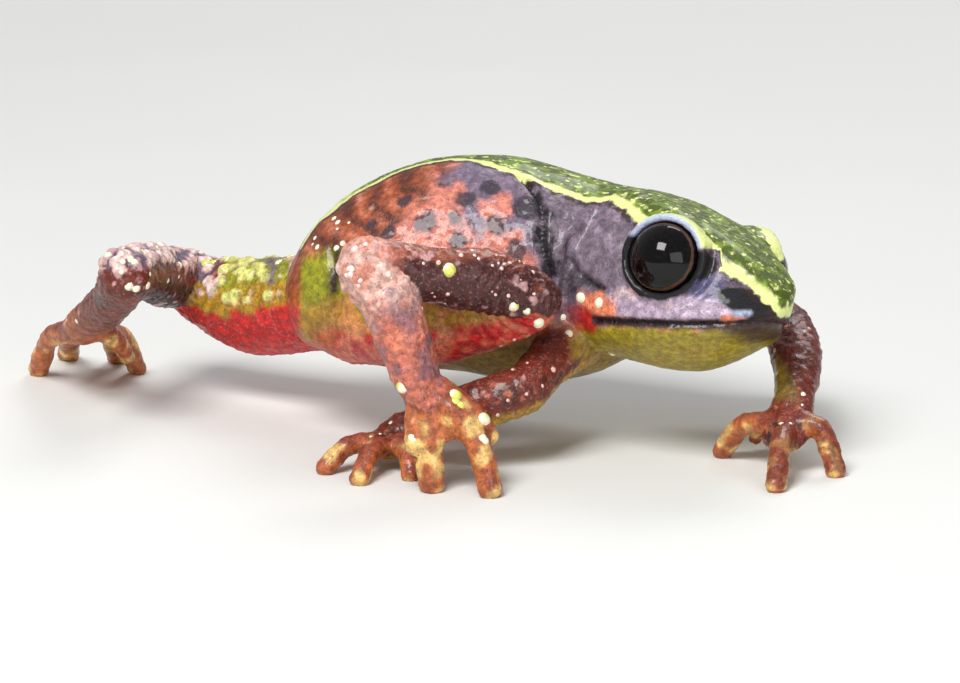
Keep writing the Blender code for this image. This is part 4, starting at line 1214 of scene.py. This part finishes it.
class Graph:
    """Shader nodes of one material, added and linked in order."""

    def __init__(self, name: str) -> None:
        """Start a material with an empty Principled shader.

        Args:
            name: Name of the material.
        """
        self.material = bpy.data.materials.new(name)
        self.material.use_nodes = True
        self.tree = self.material.node_tree
        self.shader = self.tree.nodes["Principled BSDF"]
        self.place = self.tree.nodes.new("ShaderNodeTexCoord").outputs["Object"]

    def feed(self, socket: bpy.types.NodeSocket, value: object) -> None:
        """Link a socket into another one, or set a plain value on it.

        Args:
            socket: Input that is fed.
            value: Output of another node, a tone, or a plain number or vector.
        """
        if isinstance(value, bpy.types.NodeSocket):
            self.tree.links.new(value, socket)
        elif isinstance(value, Tone):
            socket.default_value = (*value.linear, 1.0)
        else:
            socket.default_value = value

    def attribute(self, name: str, colour: bool = False) -> bpy.types.NodeSocket:
        """Attribute of the mesh.

        Args:
            name: Name of the attribute.
            colour: Whether it holds a colour.

        Returns:
            Its colour or its value.
        """
        node = self.tree.nodes.new("ShaderNodeAttribute")
        node.attribute_name = name
        return node.outputs["Color" if colour else "Fac"]

    def noise(self, per_mm: float, detail: float = 2.0) -> bpy.types.NodeSocket:
        """Noise from 0 to 1.

        Args:
            per_mm: Swells in a millimetre.
            detail: Finer layers of noise on top.

        Returns:
            The noise.
        """
        node = self.tree.nodes.new("ShaderNodeTexNoise")
        self.feed(node.inputs["Vector"], self.place)
        node.inputs["Scale"].default_value = per_mm / MM
        node.inputs["Detail"].default_value = detail
        return node.outputs["Fac"]

    def cells(self, per_mm: float) -> bpy.types.NodeSocket:
        """Distance to the middle of the nearest of close-set cells.

        Args:
            per_mm: Cells in a millimetre.

        Returns:
            The distance.
        """
        node = self.tree.nodes.new("ShaderNodeTexVoronoi")
        node.feature = "SMOOTH_F1"
        self.feed(node.inputs["Vector"], self.place)
        node.inputs["Scale"].default_value = per_mm / MM
        node.inputs["Smoothness"].default_value = 0.4
        return node.outputs["Distance"]

    def math(self, operation: str, one: object, two: object) -> bpy.types.NodeSocket:
        """One sum of two values.

        Args:
            operation: Name of the sum.
            one: First value.
            two: Second value.

        Returns:
            What it comes to.
        """
        node = self.tree.nodes.new("ShaderNodeMath")
        node.operation = operation
        self.feed(node.inputs[0], one)
        self.feed(node.inputs[1], two)
        return node.outputs["Value"]

    def step(self, value: object, low: float, high: float, start: float = 0.0,
             end: float = 1.0) -> bpy.types.NodeSocket:
        """Smooth rise of a value.

        Args:
            value: What drives the rise.
            low: Value at which it begins.
            high: Value at which it ends.
            start: Result at and below low.
            end: Result at and above high.

        Returns:
            The result.
        """
        node = self.tree.nodes.new("ShaderNodeMapRange")
        node.interpolation_type = "SMOOTHSTEP"
        for socket, number in zip(node.inputs, (value, low, high, start, end)):
            self.feed(socket, number)
        return node.outputs["Result"]

    def mix(self, share: object, one: object, two: object, blend: str = "MIX") -> bpy.types.NodeSocket:
        """Two colours mixed.

        Args:
            share: Share of the second colour.
            one: First colour.
            two: Second colour.
            blend: Way in which the second is laid on the first.

        Returns:
            The mixed colour.
        """
        node = self.tree.nodes.new("ShaderNodeMix")
        node.data_type = "RGBA"
        node.blend_type = blend
        sockets = [s for s in node.inputs if s.type == "RGBA"]
        self.feed(node.inputs[0], share)
        self.feed(sockets[0], one)
        self.feed(sockets[1], two)
        return next(s for s in node.outputs if s.type == "RGBA")

    def bump(self, height: object, distance_mm: float, below: object = None) -> bpy.types.NodeSocket:
        """Bumped normal.

        Args:
            height: Height from 0 to 1.
            distance_mm: What a height of 1 stands for.
            below: Normal that the bumps lie on.

        Returns:
            The normal.
        """
        node = self.tree.nodes.new("ShaderNodeBump")
        node.inputs["Distance"].default_value = distance_mm * MM
        self.feed(node.inputs["Height"], height)
        if below is not None:
            self.feed(node.inputs["Normal"], below)
        return node.outputs["Normal"]


@dataclass(frozen=True)
class SkinFinish:
    """Wet living skin that carries every marking."""

    roughness_low: float = 0.36
    roughness_high: float = 0.62
    roughness_dark: float = 0.72
    specular: float = 0.34
    coat: float = 0.30
    coat_roughness: float = 0.07
    scatter: float = 0.08
    scatter_radius: Triple = (1.0, 0.45, 0.25)
    scatter_mm: float = 0.4

    def material(self) -> bpy.types.Material:
        """Build the material.

        Returns:
            The material, ready to be put on a piece.
        """
        g = Graph("toad_skin")
        ragged = g.math("MULTIPLY", g.math("SUBTRACT", g.noise(1.6, 3.0), 0.5), 0.7)
        mottle = g.step(g.noise(2.6, 4.0), 0.35, 0.7, 0.62, 1.16)
        base = g.mix(1.0, g.attribute("tint", True), mottle, "MULTIPLY")
        # Painted highlight: pale pink laid on the top of each grain
        tops = g.math("MULTIPLY", g.attribute("tops"), g.step(g.noise(1.3, 2.0), 0.38, 0.66, 0.25, 1.0))
        base = g.mix(g.step(tops, 0.36, 1.05, 0.0, 0.85), base, Tone.GRAIN)
        flecks = g.step(g.noise(5.5, 2.0), 0.56, 0.70)
        flecks = g.math("MULTIPLY", flecks, g.math("MULTIPLY", g.attribute("grain"), 0.18))
        base = g.mix(flecks, base, Tone.PINK_GREY)
        specks = g.step(g.noise(8.0, 2.0), 0.60, 0.68, 0.0, 0.55)
        base = g.mix(specks, base, Tone.LIMB_DARK)
        spot = g.step(g.math("ADD", g.attribute("spot"), ragged), -0.14, 0.16)
        base = g.mix(g.math("MULTIPLY", spot, 0.88), base, Tone.SPOT)
        # Black of the dark layer: painted shade in creases, nostrils and mouth slit, with the black of lore
        # and lid edges
        dark = g.step(g.math("ADD", g.attribute("dark"), g.math("MULTIPLY", ragged, 0.35)), -0.10, 0.10)
        base = g.mix(dark, base, Tone.BLACK)
        depth = g.math("ADD", g.attribute("band"), g.math("MULTIPLY", ragged, 0.8))
        green = g.mix(g.step(g.noise(1.3, 3.0), 0.42, 0.62), Tone.BACK_GREEN, Tone.BACK_LIGHT)
        green = g.mix(g.step(g.noise(2.4, 3.0), 0.56, 0.68, 0.0, 0.8), green, Tone.BACK_PALE)
        green = g.mix(g.step(depth, 0.60, 0.34, 0.0, 0.9), green, Tone.BACK_PALE)
        green = g.mix(g.math("MULTIPLY", g.attribute("lid"), 0.8), green, Tone.LID_PALE)
        broken = g.step(g.noise(1.9, 2.0), 0.35, 0.55, 0.2, 0.85)
        base = g.mix(g.math("MULTIPLY", g.step(depth, -0.42, -0.22), broken), base, Tone.LIMB_DARK)
        base = g.mix(g.step(depth, -0.06, 0.08), base, green)
        base = g.mix(g.math("MULTIPLY", g.attribute("rim"), 0.9), base, Tone.LID_RIM)
        g.feed(g.shader.inputs["Base Color"], base)
        rough = g.step(g.noise(1.4, 3.0), 0.3, 0.7, self.roughness_low, self.roughness_high)
        rough = g.math("MAXIMUM", rough, g.math("MULTIPLY", dark, self.roughness_dark))
        g.feed(g.shader.inputs["Roughness"], rough)
        pores = g.bump(g.cells(6.5), 0.035)
        fine = g.bump(g.noise(9.0, 3.0), 0.03, pores)
        g.feed(g.shader.inputs["Normal"], fine)
        g.shader.inputs["Specular IOR Level"].default_value = self.specular
        g.shader.inputs["Coat Weight"].default_value = self.coat
        g.shader.inputs["Coat Roughness"].default_value = self.coat_roughness
        g.shader.inputs["Subsurface Weight"].default_value = self.scatter
        g.shader.inputs["Subsurface Radius"].default_value = self.scatter_radius
        g.shader.inputs["Subsurface Scale"].default_value = self.scatter_mm * MM
        return g.material


@dataclass(frozen=True)
class EyeFinish:
    """Black polished eye with a dark brown ring at the rim of the iris."""

    roughness: float = 0.08
    specular: float = 0.25
    coat: float = 0.15
    coat_roughness: float = 0.02
    ring_angle: float = 60.0
    ring_width: float = 4.0

    def material(self) -> bpy.types.Material:
        """Build the material.

        Returns:
            The material, ready to be put on a piece.
        """
        g = Graph("toad_eye")
        angle = g.math("ADD", g.attribute("angle"), g.step(g.noise(3.0), 0.3, 0.7, -0.8, 0.8))
        away = g.math("ABSOLUTE", g.math("SUBTRACT", angle, self.ring_angle), 0.0)
        ring = g.step(away, self.ring_width, self.ring_width * 0.4, 0.0, 0.75)
        iris = g.mix(g.step(g.noise(7.0, 4.0), 0.45, 0.8, 0.0, 0.10), Tone.EYE, Tone.EYE_RING)
        g.feed(g.shader.inputs["Base Color"], g.mix(ring, iris, Tone.EYE_RING))
        g.shader.inputs["Roughness"].default_value = self.roughness
        g.shader.inputs["Specular IOR Level"].default_value = self.specular
        g.shader.inputs["Coat Weight"].default_value = self.coat
        g.shader.inputs["Coat Roughness"].default_value = self.coat_roughness
        g.feed(g.shader.inputs["Normal"], g.bump(g.noise(4.0), 0.004))
        return g.material


@dataclass(frozen=True)
class TubercleFinish:
    """Glossy pale skin of the small tubercles."""

    roughness: float = 0.25
    coat: float = 0.6
    scatter: float = 0.2
    scatter_mm: float = 0.3

    def material(self) -> bpy.types.Material:
        """Build the material.

        Returns:
            The material, ready to be put on a piece.
        """
        g = Graph("toad_tubercle")
        mottle = g.step(g.noise(4.0, 3.0), 0.3, 0.7, 0.82, 1.05)
        g.feed(g.shader.inputs["Base Color"], g.mix(1.0, g.attribute("tint", True), mottle, "MULTIPLY"))
        g.shader.inputs["Roughness"].default_value = self.roughness
        g.shader.inputs["Coat Weight"].default_value = self.coat
        g.shader.inputs["Subsurface Weight"].default_value = self.scatter
        g.shader.inputs["Subsurface Scale"].default_value = self.scatter_mm * MM
        g.feed(g.shader.inputs["Normal"], g.bump(g.noise(8.0), 0.02))
        return g.material


@dataclass(frozen=True)
class FloorFinish:
    """Plain pale floor with a very faint mottle."""

    roughness: float = 0.7

    def material(self) -> bpy.types.Material:
        """Build the material.

        Returns:
            The material, ready to be put on a piece.
        """
        g = Graph("plain_floor")
        shade = g.step(g.noise(0.02, 3.0), 0.3, 0.7, 0.97, 1.0)
        g.feed(g.shader.inputs["Base Color"], g.mix(1.0, Tone.FLOOR, shade, "MULTIPLY"))
        g.shader.inputs["Roughness"].default_value = self.roughness
        return g.material


class Placement:
    """Shift from the design frame to the frame of the solids."""

    def __init__(self, head: Head) -> None:
        """Find the shift from the place of the right eye.

        Args:
            head: The head, whose right eye is in the frame too.
        """
        low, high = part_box("eye_right")
        middle = (Vector(low) + Vector(high)) / 2
        self.shift = middle / MM - head.matrix() @ head.on(Side.RIGHT, head.eye_place)

    def world(self, place: Sequence[float]) -> Vector:
        """A design place in metres."""
        return (Vector(place) + self.shift) * MM

    def finish(self, item: bpy.types.Object, material: bpy.types.Material) -> None:
        """Bring a piece to metres and dress it.

        Args:
            item: The piece, drawn in the design frame.
            material: Its only material.
        """
        item.data.transform(Matrix.Scale(MM, 4) @ Matrix.Translation(self.shift))
        item.data.materials.clear()
        item.data.materials.append(material)
        item.data.shade_smooth()


@dataclass
class Skin:
    """The one skin that covers head, trunk and limbs."""

    head: Head
    trunk: Trunk
    voxel: float = 0.15
    soften_steps: int = 9
    soften_factor: float = 0.5
    eye_clearance: float = 0.03
    most_triangles: int = 190000
    replaced: tuple[str, ...] = (
        "head", "torso", "thigh_right", "shank_right", "foot_right", "thigh_left", "shank_left", "foot_left",
        "upper_arm_left", "forearm_left", "hand_left", "upper_arm_right", "forearm_right", "hand_right",
    )

    def fused(self) -> bpy.types.Object:
        """All forms melted into one smooth shell.

        Returns:
            The shell in the design frame.
        """
        forms = [self.head.build(), self.trunk.build(self.head)]
        for limb in LIMBS.values():
            forms += limb.build()
        bm = bmesh.new()
        for form in forms:
            bm.from_mesh(form.data)
            bpy.data.objects.remove(form, do_unlink=True)
        item = object_from("skin", bm)
        fuse = item.modifiers.new("fuse", "REMESH")
        fuse.mode = "VOXEL"
        fuse.voxel_size = self.voxel
        soften = item.modifiers.new("soften", "SMOOTH")
        soften.iterations = self.soften_steps
        soften.factor = self.soften_factor
        settle(item)
        return item

    def clear_of_eyes(self, places: np.ndarray) -> np.ndarray:
        """Points pushed out where they would lie inside an eyeball.

        Args:
            places: Points of the skin in the design frame.

        Returns:
            The same points, clear of both eyes.
        """
        reach = self.head.eye_radius + self.eye_clearance
        for side in Side:
            eye = np.array(self.head.matrix() @ self.head.on(side, self.head.eye_place))
            away = places - eye
            length = np.linalg.norm(away, axis=1, keepdims=True)
            places = np.where(length < reach, eye + away / np.maximum(length, 1e-6) * reach, places)
        return places

    def thin(self, item: bpy.types.Object) -> None:
        """Leave out the points that the shape needs least, down to the count of triangles allowed.

        Args:
            item: The sculpted and painted skin.
        """
        item.data.calc_loop_triangles()
        share = self.most_triangles / len(item.data.loop_triangles)
        if share < 1.0:
            item.modifiers.new("thin", "DECIMATE").ratio = share
            settle(item)

    def build(self, placement: Placement) -> tuple[np.ndarray, np.ndarray]:
        """Make, sculpt and dress the skin.

        Args:
            placement: Shift to the frame of the solids.

        Returns:
            The skin's points and outward directions in the design frame.
        """
        item = self.fused()
        mesh = item.data
        count = len(mesh.vertices)
        places = np.empty(count * 3)
        mesh.vertices.foreach_get("co", places)
        places = places.reshape(-1, 3)
        normals = np.empty(count * 3)
        mesh.vertices.foreach_get("normal", normals)
        normals = normals.reshape(-1, 3)
        survey = Survey(places, self.head, self.trunk)
        relief = Relief(survey, self.head)
        folds = relief.folds()
        texture, grain, tops = relief.texture()
        places = places + normals * (folds + relief.face() + texture)[:, None]
        places = self.clear_of_eyes(places)
        places[:, 2] = np.maximum(places[:, 2], 0.0)
        mesh.vertices.foreach_set("co", places.ravel())
        mesh.update()
        Markings(survey, self.head).paint(mesh, folds, grain, tops)
        self.thin(item)
        placement.finish(item, SkinFinish().material())
        item.name = "skin"
        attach(item, "root")
        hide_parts(*self.replaced)
        LOG.info("skin: %d points, %d faces", len(item.data.vertices), len(item.data.polygons))
        return places, normals


@dataclass
class Eyes:
    """The two eyeballs, each with a slight bulge at its middle."""

    head: Head
    rows: int = 40
    bulge: float = 0.06
    bulge_start: float = 0.75

    def build(self, placement: Placement) -> None:
        """Make and dress both eyes, in place of the solids' eyes.

        Args:
            placement: Shift to the frame of the solids.
        """
        finish = EyeFinish().material()
        for side in Side:
            name = f"eye_{side.name.lower()}"
            shape = ball((0.0, 0.0, 0.0), self.head.eye_radius, rows=self.rows)
            item = object_from(f"{name}_ball", shape)
            axis = np.array(self.head.on(side, self.head.eye_axis).normalized())
            places = np.array([v.co[:] for v in item.data.vertices])
            ahead = (places @ axis) / self.head.eye_radius
            places += axis * (self.bulge * soft_step(ahead, self.bulge_start, 1.0))[:, None]
            item.data.vertices.foreach_set("co", places.ravel())
            angles = np.degrees(np.arccos(np.clip(ahead, -1.0, 1.0))).astype(np.float32)
            item.data.attributes.new("angle", "FLOAT", "POINT").data.foreach_set("value", angles)
            middle = Matrix.Translation(self.head.on(side, self.head.eye_place))
            item.data.transform(self.head.matrix() @ middle)
            placement.finish(item, finish)
            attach(item, "root")
            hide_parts(name)
        LOG.info("eyes: both in place")


@dataclass(frozen=True)
class Cluster:
    """Tubercles strewn round a place: how far, how many, how large and what colour."""

    place: Triple
    spread: float
    count: int
    radius: float
    tone: Tone = Tone.CREAM


@dataclass
class Tubercles:
    """Small pale domes set on the skin, made as one joined piece."""

    seed: int = 7
    sunk: float = 0.55
    flatness: float = 0.9
    sizes: tuple[float, float] = (0.55, 1.15)
    clusters: tuple[Cluster, ...] = (
        Cluster((0.2, -12.9, 12.2), 0.0, 1, 0.46, Tone.LEMON),
        Cluster((3.7, -11.4, 9.7), 0.0, 1, 0.34),
        Cluster((4.5, -11.2, 9.3), 0.0, 1, 0.26),
        Cluster((5.2, -10.8, 8.5), 0.0, 1, 0.38),
        Cluster((6.6, -6.6, 7.9), 0.0, 1, 0.26),
        Cluster((6.9, -7.4, 7.2), 0.0, 1, 0.28),
        Cluster((7.5, -7.4, 9.3), 0.0, 1, 0.40),
        Cluster((8.5, -8.5, 9.2), 0.0, 1, 0.40),
        Cluster((9.0, -6.6, 5.0), 0.0, 1, 0.32),
        Cluster((-2.9, -15.4, 5.8), 0.0, 1, 0.42),
        Cluster((0.4, -15.5, 5.5), 0.6, 3, 0.45, Tone.LEMON),
        Cluster((2.2, -15.5, 4.3), 0.0, 1, 0.50),
        Cluster((2.2, -16.5, 3.3), 0.4, 2, 0.30),
        Cluster((-2.0, -16.0, 3.3), 0.3, 2, 0.30),
        Cluster((-18.8, -2.6, 10.4), 2.2, 12, 0.30),
        Cluster((-17.4, 3.0, 10.0), 2.6, 14, 0.26),
        Cluster((-13.0, 6.6, 8.0), 1.8, 7, 0.30, Tone.LEMON),
        Cluster((-10.4, 4.4, 8.6), 1.2, 4, 0.28),
        Cluster((-0.8, -12.6, 12.9), 3.2, 20, 0.16, Tone.PINK_GREY),
        Cluster((-4.6, -13.6, 12.6), 1.6, 9, 0.22, Tone.WART),
        Cluster((3.6, -11.2, 11.4), 1.8, 14, 0.15, Tone.PINK_GREY),
        Cluster((-6.6, -3.4, 11.8), 1.8, 9, 0.22),
        Cluster((-21.0, 4.4, 5.6), 2.4, 10, 0.22),
        Cluster((20.6, -6.0, 6.0), 2.8, 10, 0.18, Tone.PINK_GREY),
        Cluster((19.6, -10.4, 3.4), 1.6, 8, 0.20),
        Cluster((4.0, -10.6, 5.2), 2.6, 10, 0.20, Tone.PINK_GREY),
        Cluster((-3.4, -10.0, 2.2), 1.6, 5, 0.18),
    )

    def build(self, placement: Placement, places: np.ndarray, normals: np.ndarray) -> None:
        """Set every dome on the skin.

        Args:
            placement: Shift to the frame of the solids.
            places: Points of the skin in the design frame.
            normals: Outward directions there.
        """
        rng = np.random.default_rng(self.seed)
        bm = bmesh.new()
        tints = []
        for cluster in self.clusters:
            away = np.linalg.norm(places - np.array(cluster.place), axis=1)
            pool = np.flatnonzero(away < cluster.spread) if cluster.spread else np.array([away.argmin()])
            if not len(pool):
                pool = np.array([away.argmin()])
            for index in rng.choice(pool, min(cluster.count, len(pool)), replace=False):
                size = cluster.radius * (1.0 if not cluster.spread else rng.uniform(*self.sizes))
                up = Vector(normals[index])
                turn = up.to_track_quat("Z", "Y").to_matrix().to_4x4()
                middle = Vector(places[index]) - up * (size * self.sunk)
                form = Matrix.Diagonal((size, size, size * self.flatness, 1.0))
                shape = Matrix.Translation(middle) @ turn @ form
                made = bmesh.ops.create_uvsphere(bm, u_segments=12, v_segments=8, radius=1.0, matrix=shape)
                tints += [(*cluster.tone.linear, 1.0)] * len(made["verts"])
        item = object_from("tubercles", bm)
        tint = item.data.attributes.new("tint", "FLOAT_COLOR", "POINT")
        tint.data.foreach_set("color", np.array(tints, dtype=np.float32).ravel())
        placement.finish(item, TubercleFinish().material())
        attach(item, "root")
        LOG.info("tubercles: %d faces", len(item.data.polygons))


@dataclass(frozen=True)
class Lamp:
    """One soft light: its place in metres, its size and its power."""

    name: str
    place: Triple
    size: float
    power: float


@dataclass
class Studio:
    """Plain pale floor, soft lights and the camera at the photograph's viewing angle."""

    elevation: float = math.radians(14.0)
    distance: float = 0.45
    lens: float = 289.0
    sensor: float = 36.0
    nearest: float = 0.01
    aim: Triple = (1.75, 0.0, 4.85)
    floor_half: float = 1.5
    sky: tuple[float, float, float, float] = (0.92, 0.95, 1.0, 1.0)
    sky_strength: float = 0.30
    lamps: tuple[Lamp, ...] = (
        Lamp("key", (-0.08, -0.17, 0.26), 0.14, 1.05),
        Lamp("front", (0.18, -0.32, 0.12), 0.20, 0.28),
        Lamp("rim", (0.10, 0.24, 0.26), 0.16, 0.40),
    )

    def build(self, placement: Placement) -> None:
        """Set up floor, lights, surroundings and camera.

        Args:
            placement: Shift to the frame of the solids.
        """
        scene = bpy.context.scene
        aim = placement.world(self.aim)
        bm = bmesh.new()
        bmesh.ops.create_grid(bm, x_segments=1, y_segments=1, size=self.floor_half)
        floor = object_from("floor", bm)
        floor.data.materials.append(FloorFinish().material())
        for lamp in self.lamps:
            data = bpy.data.lights.new(lamp.name, "AREA")
            data.energy = lamp.power
            data.size = lamp.size
            item = bpy.data.objects.new(lamp.name, data)
            item.location = lamp.place
            item.rotation_euler = (aim - Vector(lamp.place)).to_track_quat("-Z", "Y").to_euler()
            scene.collection.objects.link(item)
        world = bpy.data.worlds.new("surroundings")
        world.use_nodes = True
        background = world.node_tree.nodes["Background"]
        background.inputs["Color"].default_value = self.sky
        background.inputs["Strength"].default_value = self.sky_strength
        scene.world = world
        data = bpy.data.cameras.new("camera")
        data.lens = self.lens
        data.sensor_width = self.sensor
        data.clip_start = self.nearest
        camera = bpy.data.objects.new("camera", data)
        back = Vector((0.0, -math.cos(self.elevation), math.sin(self.elevation)))
        camera.location = aim + back * self.distance
        camera.rotation_euler = (math.pi / 2 - self.elevation, 0.0, 0.0)
        scene.collection.objects.link(camera)
        scene.camera = camera
        scene.view_settings.view_transform = "Standard"
        LOG.info("studio: floor, %d lights and camera", len(self.lamps))


def main() -> None:
    """Build the animal round the loaded frame, then the studio."""
    logging.basicConfig(level=logging.INFO, format="%(name)s %(message)s")
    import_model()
    head, trunk = Head(), Trunk()
    placement = Placement(head)
    places, normals = Skin(head, trunk).build(placement)
    Eyes(head).build(placement)
    Tubercles().build(placement, places, normals)
    Studio().build(placement)


if __name__ == "__main__":
    main()
